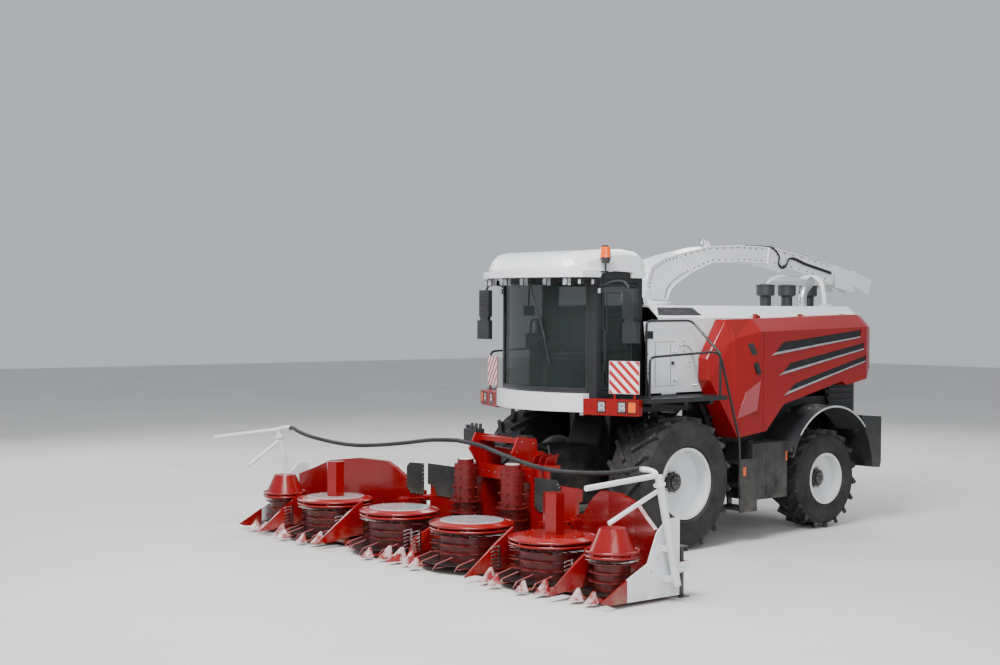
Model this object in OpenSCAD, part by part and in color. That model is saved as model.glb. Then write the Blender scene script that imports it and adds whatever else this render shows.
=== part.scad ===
// Self-propelled forage harvester with a row-independent maize header, parked on its wheels.
// +X points forward, +Y to the left and +Z up. The modules are drawn from the ground point
// below the front axle, and placed() moves them to the middle of the whole machine.

/* [Wheels] */
// Distance between the front and the rear axle
wheelbase = 3190; // [2900:10:3500]
// Outer diameter of a front tyre over its lugs
front_tyre_d = 1790; // [1650:10:1850]
// Width of a front tyre
front_tyre_w = 700; // [600:10:720]
// Diameter of a front rim's barrel
front_rim_d = 900; // [800:10:960]
// Distance from the centre plane to the middle of a front wheel
front_track = 1270; // [1260:5:1320]
// Outer diameter of a rear tyre over its lugs
rear_tyre_d = 1450; // [1380:10:1460]
// Width of a rear tyre
rear_tyre_w = 520; // [440:10:540]
// Diameter of a rear rim's barrel
rear_rim_d = 700; // [600:10:740]
// Distance from the centre plane to the middle of a rear wheel
rear_track = 1180; // [1170:5:1230]
// Height of a tread lug
lug_h = 45; // [30:1:55]
// Width of a tread lug
lug_w = 50; // [35:1:60]
// Number of lugs in each of a tyre's two rows
lug_count = 18; // [14:1:22]
// Thickness of a rim's steel
rim_t = 12; // [8:1:18]
// Radius of a wheel spindle
spindle_r = 60; // [45:1:70]

/* [Chassis] */
// Height of the rails' lower edge
rail_z = 950; // [920:5:980]
// Height of a rail
rail_h = 250; // [200:5:280]
// Width of a rail
rail_w = 100; // [70:5:110]
// Distance from the centre plane to a rail's outer face
rail_y = 400; // [370:5:420]
// Distance from the centre plane to a kingpin
kingpin_y = 860; // [850:5:880]
// Radius of a kingpin
kingpin_r = 35; // [25:1:40]
// Radius of the space that a steered wheel sweeps round its kingpin
steer_sweep_r = 975; // [965:1:1000]
// Length of the engine block
engine_l = 1750; // [1500:10:1780]
// Height of the engine block
engine_h = 1050; // [900:10:1150]
// Width of the side tank
tank_w = 480; // [400:10:500]
// Radius of the towing jaw's bore
tow_bore_r = 16.5; // [14:0.5:22]

/* [Body] */
// Height of the deck's flat top
deck_z = 3250; // [3220:5:3280]
// Thickness of the body panels
panel_t = 25; // [15:1:30]
// Distance from the centre plane to the white side panels' outer face
side_y = 1100; // [1090:5:1105]
// Distance from the centre plane to the red hoods' outer face
hood_y = 1500; // [1470:5:1520]
// Height of the walkways' upper face
walkway_z = 2040; // [2020:5:2060]
// Distance from the centre plane to a walkway's outer edge
walkway_y = 1660; // [1600:5:1700]
// Diameter of the handrail tube
rail_tube_d = 34; // [25:1:42]

/* [Cab] */
// Height of the cab floor's underside
cab_floor_z = 2000; // [1990:1:2010]
// Height of the roof's underside
cab_roof_z = 3610; // [3560:5:3640]
// Half of the cab's width
cab_y = 950; // [920:5:960]
// Thickness of the cab's posts and walls
cab_wall = 50; // [40:1:60]
// Thickness of a glass pane
glass_t = 8; // [6:1:10]
// Height of the roof
roof_h = 380; // [340:10:420]

/* [Spout] */
// Half of the spout's outer width
spout_half_w = 190; // [170:1:210]
// Thickness of the spout's sheet
spout_wall = 8; // [6:1:12]
// Radius of the turntable ring
turntable_r = 330; // [300:1:350]
// Distance from the front axle back to the turntable's axis
turntable_back = 890; // [870:5:910]

/* [Header] */
// Distance between two neighbouring large rotors
rotor_pitch = 1500; // [1490:1:1520]
// Distance from the front axle forward to the large rotors' axes
rotor_x = 2970; // [2950:5:2990]
// Outer radius of a large rotor's saw blade
blade_r = 650; // [600:1:725]
// Outer radius of a large rotor's upper ring
ring_r = 530; // [500:1:545]
// Radius of a large rotor's drum
drum_r = 400; // [360:1:430]
// Outer radius of a small rotor's saw blade
small_blade_r = 365; // [340:1:370]
// Outer radius of a small rotor's upper ring
small_ring_r = 310; // [290:1:325]
// Distance from the centre plane to a small rotor's axis
small_rotor_y = 3350; // [3330:5:3370]
// Height of the saw blades' underside
blade_z = 105; // [100:1:115]
// Height of the rotors' upper ring
ring_z = 550; // [520:5:580]
// Distance from the centre plane to an end post
post_y = 3850; // [3830:5:3880]
// Outer diameter of an end post's tube
post_d = 90; // [70:1:100]
// Distance from the centre plane to a wing's fold hinge
fold_y = 1500; // [1490:1:1510]
// Height of a wing's fold hinge
fold_z = 560; // [540:1:600]
// Radius of a feed drum
feed_drum_r = 220; // [190:1:235]
// Distance from the centre plane to a feed drum's axis
feed_drum_y = 480; // [470:1:500]
// Diameter of the crop-guide hose
hose_d = 55; // [45:1:60]
// Width of a parking stand's square leg
stand_w = 50; // [40:1:60]

/* [Clearances] */
// Gap between two bearing faces
seat_gap = 0.3; // [0.2:0.05:0.5]
// Radial gap of a pin in its bore
pin_gap = 0.08; // [0.05:0.01:0.1]
// Gap round a door or a lid
door_gap = 8; // [6:1:12]
// Radial play of a lift cylinder's eye
eye_gap = 4.5; // [4.2:0.1:6]

/* [Hidden] */

$fn = 48;
// How far the front axle lies in front of the machine's middle
origin_shift = 960;
front_r = front_tyre_d / 2;
rear_r = rear_tyre_d / 2;
rail_top = rail_z + rail_h;
hub_r = 120;

red = "firebrick";
white = "whitesmoke";
black = "#202224";
grey = "dimgray";

// General helpers

module placed() {
  translate([origin_shift, 0, 0]) children();
}

module both_sides() {
  children();
  mirror([0, 1, 0]) children();
}

module on_side(s) {
  if (s > 0) children();
  else mirror([0, 1, 0]) children();
}

// Box between two opposite corners
module box(a, b) {
  translate(a) cube(b - a);
}

// Plate with an outline in X and Z, from y0 to y1
module plate_xz(outline, y0, y1) {
  translate([0, y1, 0]) rotate([90, 0, 0]) linear_extrude(y1 - y0) polygon(outline);
}

// Plate with an outline in Y and Z, from x0 to x1
module plate_yz(outline, x0, x1) {
  translate([x0, 0, 0]) rotate([90, 0, 90]) linear_extrude(x1 - x0) polygon(outline);
}

// Plate with an outline in X and Y, from z0 to z1
module plate_xy(outline, z0, z1) {
  translate([0, 0, z0]) linear_extrude(z1 - z0) polygon(outline);
}

// Round bar between two points
module bar(a, b, d) {
  v = b - a;
  l = norm(v);
  translate(a) rotate([0, acos(v[2] / l), atan2(v[1], v[0])]) cylinder(h = l, d = d, $fn = 20);
}

function unit(v) = v / norm(v);

// Path with each inner corner rounded off at distance r from it
function rounded(points, r) = [
  points[0],
  for (i = [1:len(points) - 2])
    let (
      p = points[i], a = unit(points[i - 1] - p), b = unit(points[i + 1] - p),
      la = min(r, norm(points[i - 1] - p) * 0.45), lb = min(r, norm(points[i + 1] - p) * 0.45)
    )
      each [for (t = [0, 0.33, 0.67, 1]) (1 - t) * (1 - t) * (p + la * a) + 2 * t * (1 - t) * p + t * t * (p + lb * b)],
  points[len(points) - 1]
];

// Bent tube through a row of points; n is its number of sides
module tube_path(points, d, bend = 80, n = 10) {
  route = bend > 0 ? rounded(points, bend) : points;
  last = len(route) - 1;
  tangents = [for (i = [0:last]) unit(route[min(i + 1, last)] - route[max(i - 1, 0)])];
  start = abs(tangents[0][2]) < 0.9 ? [0, 0, 1] : [1, 0, 0];
  sides = [
    for (i = 0, u = unit(cross(tangents[0], start)); i <= last;
      i = i + 1, u = i > last ? u : unit(u - (u * tangents[i]) * tangents[i])) u
  ];
  loft([
    for (i = [0:last])
      let (u = sides[i], v = cross(tangents[i], u))
        [for (k = [0:n - 1]) route[i] + d / 2 * (cos(-360 * k / n) * u + sin(-360 * k / n) * v)]
  ]);
}

// Round disc or pin along Y, from y0 to y1
module disc_y(x, z, r, y0, y1) {
  translate([x, y1, z]) rotate([90, 0, 0]) cylinder(h = y1 - y0, r = r);
}

// Skin over a row of rings with equal numbers of points
module loft(rings) {
  n = len(rings[0]);
  m = len(rings);
  points = [for (r = rings) each r];
  sides = [
    for (i = [0:m - 2], j = [0:n - 1])
      each [
        [i * n + j, i * n + (j + 1) % n, (i + 1) * n + (j + 1) % n],
        [i * n + j, (i + 1) * n + (j + 1) % n, (i + 1) * n + j]
      ]
  ];
  first = [[for (j = [0:n - 1]) n - 1 - j]];
  last = [[for (j = [0:n - 1]) (m - 1) * n + j]];
  polyhedron(points = points, faces = concat(sides, first, last));
}

// Wheels, drawn round the Y axis with the outer side towards +Y

module tyre(od, w, rim_d, n) {
  carcass_r = od / 2 - lug_h;
  bead_r = rim_d / 2 + seat_gap;
  shoulder = 70;
  half_c = (w / 2 * sin(45) + lug_w * cos(45)) / 2;
  lug_top = sqrt(od * od / 4 - half_c * half_c);
  rotate([90, 0, 0]) rotate_extrude($fn = 48) polygon([
    [bead_r, -w / 2 + 45], [bead_r + 30, -w / 2 + 45], [bead_r + 60, -w / 2 + 6], [(bead_r + carcass_r) / 2, -w / 2],
    [carcass_r - shoulder, -w / 2 + 14], [carcass_r - 14, -w / 2 + 60], [carcass_r, 0],
    [carcass_r - 14, w / 2 - 60], [carcass_r - shoulder, w / 2 - 14],
    [(bead_r + carcass_r) / 2, w / 2], [bead_r + 60, w / 2 - 6], [bead_r + 30, w / 2 - 45],
    [bead_r, w / 2 - 45]
  ]);
  // The corner of the first lug touches the ground
  contact = atan2(half_c, lug_top);
  for (i = [0:n - 1], s = [-1, 1])
    rotate([0, contact + (i + (s > 0 ? 0 : 0.5)) * 360 / n, 0])
      translate([0, s * w / 4, -lug_top])
        rotate([0, 0, -45 * s])
          translate([-lug_w / 2, -w * 0.27, 0]) cube([lug_w, w * 0.54, lug_h + 30]);
}

module rim(rim_d, w, disc_y, dish) {
  r = rim_d / 2;
  // The flanges bear on the tyre's beads
  half = w / 2 - 45 + seat_gap;
  difference() {
    union() {
      rotate([90, 0, 0]) rotate_extrude() polygon([
        [r - rim_t, -half - 15], [r + 24, -half - 15], [r + 24, -half], [r, -half], [r, half],
        [r + 24, half], [r + 24, half + 15], [r - rim_t, half + 15]
      ]);
      // Dished disc
      rotate([-90, 0, 0]) rotate_extrude() polygon([
        [0, disc_y], [hub_r + 70, disc_y], [r - 110, disc_y + dish], [r - rim_t / 2, disc_y + dish + 30],
        [r - rim_t / 2, disc_y + dish + 30 - rim_t * 1.6], [r - 105, disc_y + dish - rim_t],
        [hub_r + 75, disc_y - rim_t], [0, disc_y - rim_t]
      ]);
      // Hub with its cap
      disc_y(0, 0, hub_r + 45, disc_y - 60, disc_y);
      disc_y(0, 0, hub_r, disc_y - 90, disc_y + 70);
      disc_y(0, 0, hub_r - 30, disc_y + 60, disc_y + 95);
      for (a = [0:36:324])
        rotate([0, a, 0]) disc_y(hub_r + 28, 0, 11, disc_y - 4, disc_y + 22);
    }
    // Bore for the spindle
    disc_y(0, 0, spindle_r + pin_gap, disc_y - 200, disc_y + 20);
  }
}

front_disc_y = 40;
rear_disc_y = 20;

module front_wheel_place(s) {
  placed() on_side(s) translate([0, front_track, front_r]) children();
}

module rear_wheel_place(s) {
  placed() on_side(s) translate([-wheelbase, rear_track, rear_r]) children();
}

module front_tyre(s) {
  color(black) front_wheel_place(s) tyre(front_tyre_d, front_tyre_w, front_rim_d, lug_count);
}

module rear_tyre(s) {
  color(black) rear_wheel_place(s) tyre(rear_tyre_d, rear_tyre_w, rear_rim_d, lug_count);
}

module front_rim(s) {
  color(white) front_wheel_place(s) rim(front_rim_d, front_tyre_w, front_disc_y, 40);
}

module rear_rim(s) {
  color(white) rear_wheel_place(s) rim(rear_rim_d, rear_tyre_w, rear_disc_y, 30);
}

// Chassis

platform_z = walkway_z - 60;
hoop_x = [-300, -1750, -4100];
header_pivot = [350, 0, 1150];
lift_base = [220, 0, 500];
lift_eye = [1450, 0, 550];
lift_y = rail_y + 40;
lift_pin_r = 25;
engine_front = -2050;

module hoop(x) {
  t = 80;
  both_sides() {
    box([x - t, rail_y - rail_w, rail_top - 20], [x, rail_y, 1650]);
    box([x - t, rail_y - rail_w, 1570], [x, 700, 1650]);
    box([x - t, 620, 1570], [x, 700, deck_z - panel_t]);
  }
  box([x - t, -700, deck_z - panel_t - t], [x, 700, deck_z - panel_t]);
}

module chassis_frame() {
  color(black) placed() {
    both_sides() {
      box([-4390, rail_y - rail_w, rail_z], [265, rail_y, rail_top]);
      // Posts below the cab platform
      box([165, rail_y - rail_w, rail_top - 10], [250, rail_y, platform_z - 50]);
      box([-500, rail_y - rail_w, rail_top - 10], [-420, rail_y, platform_z - 50]);
      // Brackets of the header's lift cylinders
      box([180, rail_y - 20, 430], [260, rail_y, rail_z + 20]);
      disc_y(lift_base[0], lift_base[2], lift_pin_r, rail_y - 20, lift_y + 30);
      // Pins that carry the feeder house
      disc_y(header_pivot[0], header_pivot[2], 30, 290, 350);
      // Rubber mounts of the cab
      for (x = [330, 820]) translate([x, 700, platform_z]) cylinder(h = cab_floor_z - platform_z, r = 60);
    }
    for (x = [-1400, -4390]) box([x, -rail_y, rail_z + 40], [x + 90, rail_y, rail_top - 30]);
    // Pivot saddle of the rear axle
    box([-wheelbase - 120, -rail_y, rail_z - 60], [-wheelbase + 120, rail_y, rail_z + 60]);
    // Platform that carries the cab and the walkways
    box([-520, -1040, platform_z - 50], [880, 1040, platform_z]);
    both_sides() for (x = [-500, 0, 620]) box([x, 1000, platform_z - 50], [x + 60, 1600, platform_z]);
    // Chopping unit between the front wheels and the duct up to the spout
    plate_xz([[-450, 760], [300, 760], [400, 1000], [400, 1350], [250, 1700], [-450, 1700]], -300, 300);
    plate_xz([[-450, 1650], [-150, 1650], [-660, deck_z - 45], [-1120, deck_z - 45]], -230, 230);
    for (x = hoop_x) hoop(x);
  }
}

axle_beam_w = 220;

module axles() {
  color(grey) placed() {
    // Front axle with final drives and spindles
    box([-axle_beam_w / 2, -620, 480], [axle_beam_w / 2, 620, 750]);
    both_sides() {
      box([-150, 560, 480], [150, 760, 1080]);
      disc_y(0, front_r, 190, 740, front_track + front_disc_y - 90 - 120);
      disc_y(0, front_r, spindle_r, 760, front_track + front_disc_y - seat_gap);
      // Arms that hold the beam to the rails
      box([-150, rail_y - rail_w, 740], [150, 600, rail_z]);
    }
    // Rear axle beam with its pivot and kingpins
    translate([-wheelbase, 0, 0]) {
      plate_yz([[-780, 640], [780, 640], [780, 800], [300, rail_z - 60], [-300, rail_z - 60], [-780, 800]],
        -110, 110);
      both_sides() {
        box([-44, 770, 670], [44, kingpin_y, 780]);
        translate([0, kingpin_y, 670]) cylinder(h = 110, r = 44);
        translate([0, kingpin_y, rear_r - 190]) cylinder(h = 380, r = kingpin_r);
      }
    }
  }
}

module knuckle(s) {
  color(grey) placed() on_side(s) translate([-wheelbase, 0, 0]) {
    difference() {
      union() {
        for (z = [-190, 70]) translate([0, kingpin_y, rear_r + z]) cylinder(h = 120, r = kingpin_r + 30);
        box([-65, kingpin_y + 50, rear_r - 190], [65, kingpin_y + 85, rear_r + 190]);
        for (z = [-190, 70]) box([-65, kingpin_y, rear_r + z], [65, kingpin_y + 80, rear_r + z + 120]);
        disc_y(0, rear_r, 110, kingpin_y + 60, rear_track + rear_disc_y - 90 - 5);
        disc_y(0, rear_r, spindle_r, kingpin_y + 60, rear_track + rear_disc_y - seat_gap);
        // Steering arm
        box([60, kingpin_y - 30, rear_r - 180], [260, kingpin_y + 30, rear_r - 140]);
      }
      translate([0, kingpin_y, 0]) cylinder(h = 2000, r = kingpin_r + pin_gap);
    }
  }
}

module engine() {
  color(grey) placed() {
    box([engine_front - engine_l, -rail_y, rail_top], [engine_front, rail_y, rail_top + engine_h]);
  }
}

arch_r = 970;
arch_t = 35;
arch_z = 800;

// Left and right tank with the rear wheel's arch
module side_skirts() {
  color(black) placed() both_sides() {
    box([-2180, hood_y - tank_w, 550], [-1430, hood_y, 1330]);
    // Arms to the rails
    box([-1700, rail_y, rail_z + 40], [-1600, hood_y - tank_w + 10, rail_top - 40]);
    box([-2100, rail_y, rail_z + 40], [-2000, hood_y - tank_w + 10, rail_top - 40]);
    intersection() {
      difference() {
        disc_y(-wheelbase, arch_z, arch_r + arch_t, 1000, 1560);
        disc_y(-wheelbase, arch_z, arch_r, 900, 1600);
      }
      box([-wheelbase - 760, 900, 1100], [-2170, 1600, 2000]);
    }
    // Inner wall above the wheel
    box([-3900, 1000, 1770], [-2600, 1040, 1900]);
    box([-2230, 1020, 1180], [-2170, 1560, 1330]);
  }
}

// Body panels

deck_half = 900;
deck_edge_z = deck_z - 170;
deck_low_z = deck_z - 220;

module deck_outline(t) {
  polygon([
    [-side_y, deck_low_z], [-side_y, deck_edge_z], [-deck_half, deck_z], [deck_half, deck_z],
    [side_y, deck_edge_z], [side_y, deck_low_z], [side_y - t, deck_low_z],
    [side_y - t, deck_edge_z - t * 0.3], [deck_half - t * 0.3, deck_z - t],
    [-deck_half + t * 0.3, deck_z - t], [-side_y + t, deck_edge_z - t * 0.3], [-side_y + t, deck_low_z]
  ]);
}

hinge_y = side_y + 30;
hinge_z = deck_edge_z + 40;
hinge_r = 9;
hood_hinge_x = [-1900, -2900, -3900];

module deck() {
  color(white) placed() {
    difference() {
      translate([-4370, 0, 0]) rotate([90, 0, 90]) linear_extrude(4390) deck_outline(panel_t);
      translate([-turntable_back, 0, deck_z - 100]) cylinder(h = 200, r = turntable_r - 60);
    }
    // Collar below the turntable
    translate([-turntable_back, 0, deck_z]) difference() {
      cylinder(h = 25, r = turntable_r - 10);
      translate([0, 0, -1]) cylinder(h = 40, r = turntable_r - 60);
    }
    // Cradle that carries the spout
    both_sides() {
      tube_path([[-4200, 590, deck_z + 15], [-4200, 515, 3700], [-4200, 0, 3700]], 80, 150, 12);
      box([-4280, 530, deck_z - 10], [-4125, 660, deck_z + 35]);
    }
    // Hinge pins of the side hoods
    both_sides() for (x = hood_hinge_x) {
      translate([x - 60, hinge_y, hinge_z]) rotate([0, 90, 0]) cylinder(h = 120, r = hinge_r);
      for (e = [-60, 48])
        plate_yz([[side_y - 60, hinge_z - 12], [hinge_y + 8, hinge_z - 12], [hinge_y + 8, hinge_z + 12],
          [side_y - 60, hinge_z + 12]], x + e, x + e + 12);
    }
  }
}

door_front = 120;
door_rear = -290;
door_low = 2160;
door_high = 2760;
door_hinge_x = door_rear - 12;
door_hinge_y = side_y + 14;

module side_panel_outline() {
  polygon([[300, deck_low_z], [-1070, deck_low_z], [-830, 2070], [190, 2070]]);
}

module side_panels() {
  color(white) placed() {
    both_sides() difference() {
      translate([0, side_y, 0]) rotate([90, 0, 0]) linear_extrude(panel_t) side_panel_outline();
      translate([0, 0, 0]) box([door_rear, side_y - 100, door_low], [door_front, side_y + 20, door_high]);
    }
    // Closed panel on the right where the left side has its door
    box([door_rear, -side_y, door_low], [door_front, -side_y + panel_t, door_high]);
    // Frames behind the panels
    both_sides() {
      box([-380, 700, 2100], [-300, side_y - panel_t, 2180]);
      box([-380, 700, 2900], [-300, side_y - panel_t, 2980]);
    }
    // Hinge pins of the left service door
    for (z = [door_low + 80, door_high - 140])
      translate([door_hinge_x, door_hinge_y, z]) {
        cylinder(h = 60, r = 6);
        box([-14, -15, -10], [14, 12, 0]);
      }
  }
}

module service_door() {
  color(white) placed() difference() {
    union() {
      box([door_rear + door_gap, side_y - panel_t, door_low + door_gap],
        [door_front - door_gap, side_y, door_high - door_gap]);
      for (z = [door_low + 80 + seat_gap, door_high - 140 + seat_gap])
        translate([door_hinge_x, door_hinge_y, z]) {
          cylinder(h = 50, r = 11);
          box([0, -11, 0], [door_gap + 60, 0, 50]);
          box([door_gap + 14, -15, 0], [door_gap + 60, -10, 50]);
        }
    }
    translate([door_hinge_x, door_hinge_y, door_low]) cylinder(h = door_high - door_low, r = 6 + pin_gap);
  }
}

// Side hood stations: x, lower edge, height of the shoulder, height of the top, side y, top y
hood_split = -1650;
hood_stations = [
  [-740, 2230, 2510, 2530, 1270, 1250],
  [-1090, 1530, 2760, 3060, 1400, 1300],
  [-1140, 1430, 2790, 3062, 1420, 1300],
  [-1610, 1490, 2890, 3070, hood_y, 1300],
  [-1720, 1500, 2892, 3072, hood_y, 1300],
  [-2100, 1860, 2900, 3080, hood_y, 1300],
  [-3430, 2150, 2930, 3120, hood_y, 1300],
  [-3550, 2090, 2935, 3122, hood_y, 1300],
  [-4030, 2170, 2950, 3130, hood_y, 1300],
  [-4180, 2330, 2940, 3100, hood_y - 60, 1280]
];
hood_inner_y = side_y + 12;

// Ring of a hood station, set in by t
function hood_ring(s, t, inner) = [
  [s[0], inner, s[1] + t], [s[0], (s[0] > -1600 ? s[4] + 60 : s[4]) - t, s[1] + t],
  [s[0], s[4] - t, s[2] - t * 0.4], [s[0], s[5] - t * 0.4, s[3] - t], [s[0], inner, s[3] - t]
];

module hood_solid(t, inner) {
  last = len(hood_stations) - 1;
  rings = [
    for (i = [0:last])
      let (s = hood_stations[i], x = i == 0 ? s[0] - t : i == last ? s[0] + t : s[0])
        hood_ring(concat([x], [for (k = [1:5]) s[k]]), t, inner)
  ];
  loft(rings);
}

module hood_shell() {
  difference() {
    hood_solid(0, hood_inner_y);
    hood_solid(panel_t, hood_inner_y - 40);
  }
}

module hood_fronts() {
  color(red) placed() both_sides() {
    intersection() {
      hood_shell();
      box([hood_split, 1000, 1000], [0, 1700, 3400]);
    }
    // Arms that carry the fixed front part
    for (z = [1600, 2600]) {
      box([-1600, 620, z], [-1560, hood_y - panel_t + 2, z + 40]);
      box([hoop_x[1], 620, z], [-1580, 700, z + 40]);
    }
  }
}

// Louvre slots: front x, front z, rear x, rear z of the lower edge, and height
slots = [
  [-1920, 2590, -3880, 2800, 150],
  [-2080, 2310, -3960, 2620, 130],
  [-2190, 2030, -4010, 2440, 120]
];

module hood(s) {
  color(red) placed() on_side(s) difference() {
    union() {
      difference() {
        intersection() {
          hood_shell();
          box([-4300, 1000, 1000], [hood_split - door_gap, 1700, 3400]);
        }
        // Notches round the hinges
        for (x = hood_hinge_x) box([x - 66, 1000, 3000], [x + 66, hinge_y + 25, 3200]);
      }
      // Hinge barrels
      for (x = hood_hinge_x) translate([x - 46, hinge_y, hinge_z]) {
        rotate([0, 90, 0]) cylinder(h = 92, r = 17);
        box([0, 2, -60], [92, 60, -4]);
      }
    }
    for (x = hood_hinge_x)
      translate([x - 60, hinge_y, hinge_z]) rotate([0, 90, 0]) cylinder(h = 120, r = hinge_r + pin_gap);
    for (q = slots)
      plate_xz([[q[0], q[1]], [q[2], q[3]], [q[2] - 20, q[3] + q[4] * 0.7], [q[0] - 160, q[1] + q[4]]],
        hood_y - 12, hood_y + 20);
  }
}

module walkways() {
  color(black) placed() {
    both_sides() {
      difference() {
        box([-720, 1000, platform_z], [900, walkway_y, walkway_z]);
        bar_place() box([-bar_back - seat_gap, -200, 1700], [300, 1000, 2300]);
      }
      // Wall between the walkway and the body
      box([-820, side_y - 60, 1820], [880, side_y - 30, platform_z - 50]);
      // Outer handrail
      tube_path([[720, 1600, walkway_z - 20], [720, 1600, 2545], [660, 1600, 2580], [-540, 1600, 2630],
        [-650, 1600, 2560], [-1030, 1600, 1450], [-1050, 1600, 1100]], rail_tube_d);
      bar([-640, 1600, 2540], [-640, 1600, walkway_z - 20], rail_tube_d);
      // Inner handrail
      tube_path([[330, side_y + 60, walkway_z - 20], [330, side_y + 60, 3005], [290, side_y + 60, 3040],
        [-540, side_y + 60, 3045], [-650, 1600, 2595]], rail_tube_d);
    }
    // Ladder between the left front wheel and the tank
    both_sides() {
      plate_xz([[-660, platform_z + 10], [-740, platform_z + 10], [-1180, 1180], [-1400, 1080], [-1400, 420],
        [-1320, 420], [-1320, 1040], [-1140, 1100]], 1130, 1160);
      plate_xz([[-1400, 420], [-1400, 1150], [-1030, 1150], [-1050, 420]], 1585, 1615);
    }
    for (q = [[-1400, 440], [-1400, 760], [-1390, 1080]])
      box([q[0], 1140, q[1]], [q[0] + 330, 1600, q[1] + 35]);
    for (q = [[-1130, 1400], [-960, 1700]])
      box([q[0], 1000, q[1]], [q[0] + 170, 1200, q[1] + 30]);
  }
}

module rear_panel() {
  color(black) placed() {
    difference() {
      box([-4290, -1080, 1640], [-4240, 1080, deck_low_z - 10]);
      for (z = [2000:150:2900]) box([-4300, -700, z], [-4230, 700, z + 80]);
    }
    both_sides() {
      plate_xz([[-3730, 1668], [-4240, 1668], [-4240, 2080], [-3560, 2050]], 1040, 1080);
      for (z = [1720:90:2000]) plate_xz([[-3650, z], [-4230, z], [-4230, z + 40], [-3620, z + 40]], 1075, 1110);
    }
    // Struts to the last hoop
    both_sides() box([-4245, 640, 1700], [-4180, 700, 2900]);
  }
}

module counterweight() {
  color(black) placed() {
    difference() {
      plate_xz([[-3900, 1180], [-3900, 860], [-4380, 820], [-4410, 900], [-4410, 1590], [-3760, 1640]],
        -hood_y, hood_y);
      both_sides() {
        translate([-wheelbase, kingpin_y, 0]) cylinder(h = 2000, r = steer_sweep_r, $fn = 200);
        translate([-wheelbase, 1600, arch_z]) rotate([90, 0, 0])
          cylinder(h = 700, r = arch_r + arch_t + seat_gap, $fn = 200);
      }
      // Notch in which the weight hangs on the rails
      box([-4392, -rail_y - 2, 0], [-3000, rail_y + 2, rail_top]);
      box([-4200, -700, 0], [-3000, 700, 2000]);
    }
    // Towing jaw
    box([-4450, -180, 900], [-4405, 180, 1250]);
    difference() {
      for (z = [960, 1075]) box([-4620, -70, z], [-4440, 70, z + 25]);
      translate([-4570, 0, 900]) cylinder(h = 300, r = tow_bore_r);
    }
  }
}

// Cab

module front_arc(x_mid, r, grow) {
  translate([x_mid - r, 0]) circle(r = r + grow, $fn = 96);
}

// Plan of the cab, set in by t
module cab_plan(t) {
  intersection() {
    front_arc(1340, 1650, -t);
    translate([200 + t, -cab_y + t]) square([1400, 2 * (cab_y - t)]);
  }
}

cab_z0 = cab_floor_z + 60;
door_z0 = cab_z0 + 60;
door_z1 = cab_roof_z - 70;
door_x0 = 300;
door_x1 = 960;

module cab_frame() {
  color(black) placed() cab_hinges();
  color(black) placed() difference() {
    translate([0, 0, cab_floor_z]) linear_extrude(cab_roof_z - cab_floor_z) cab_plan(0);
    translate([0, 0, cab_z0]) linear_extrude(cab_roof_z - cab_z0 - 40) cab_plan(cab_wall);
    // Windscreen
    box([1060, -cab_y + 110, cab_z0 + 80], [1500, cab_y - 110, cab_roof_z - 60]);
    // Doorway on the left and window on the right
    both_sides() box([door_x0, 800, door_z0], [door_x1, 1100, door_z1]);
    // Rear window
    box([100, -700, 2700], [300, 700, cab_roof_z - 100]);
  }
}

module cab_glass() {
  color("powderblue", 0.5) placed() {
    intersection() {
      difference() {
        translate([0, 0, cab_z0 + 80 + seat_gap])
          linear_extrude(cab_roof_z - cab_z0 - 140 - 2 * seat_gap) front_arc(1340, 1650, -15);
        translate([0, 0, cab_z0 + 70]) linear_extrude(2000) front_arc(1340, 1650, -15 - glass_t);
      }
      box([1060 + seat_gap, -cab_y + 110 + seat_gap, cab_z0], [1500, cab_y - 110 - seat_gap, cab_roof_z]);
    }
    box([door_x0 + seat_gap, -cab_y + 10, door_z0 + seat_gap],
      [door_x1 - seat_gap, -cab_y + 10 + glass_t, door_z1 - seat_gap]);
    box([215, -700 + seat_gap, 2700 + seat_gap], [215 + glass_t, 700 - seat_gap, cab_roof_z - 100 - seat_gap]);
  }
}

cab_hinge_x = door_x0 - 14;
cab_hinge_y = cab_y + 16;
cab_hinge_z = [door_z0 + 200, door_z1 - 260];

module cab_door() {
  color(black) placed() difference() {
    union() {
      difference() {
        box([door_x0 + door_gap, cab_y - cab_wall, door_z0 + door_gap],
          [door_x1 - door_gap, cab_y, door_z1 - door_gap]);
        box([door_x0 + 50, cab_y - 100, door_z0 + 60], [door_x1 - 50, cab_y + 10, door_z1 - 50]);
      }
      for (z = cab_hinge_z) translate([cab_hinge_x, cab_hinge_y, z]) {
        cylinder(h = 60, r = 13);
        box([0, -13, 0], [60, 0, 60]);
        box([door_x0 + door_gap - cab_hinge_x, -17, 0], [60, -12, 60]);
      }
      // Handle
      box([door_x1 - 48, cab_y - 5, 2500], [door_x1 - 22, cab_y + 30, 2640]);
    }
    translate([cab_hinge_x, cab_hinge_y, door_z0]) cylinder(h = 2000, r = 7 + pin_gap);
  }
}

module cab_hinges() {
  for (z = cab_hinge_z) translate([cab_hinge_x, cab_hinge_y, z]) {
    translate([0, 0, -20]) cylinder(h = 78, r = 7);
    box([-20, -17, -20], [10, 12, -seat_gap]);
  }
}

module door_glass() {
  color("powderblue", 0.5) placed()
    box([door_x0 + 50 + seat_gap, cab_y - 30, door_z0 + 60 + seat_gap],
      [door_x1 - 50 - seat_gap, cab_y - 30 + glass_t, door_z1 - 50 - seat_gap]);
}

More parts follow.
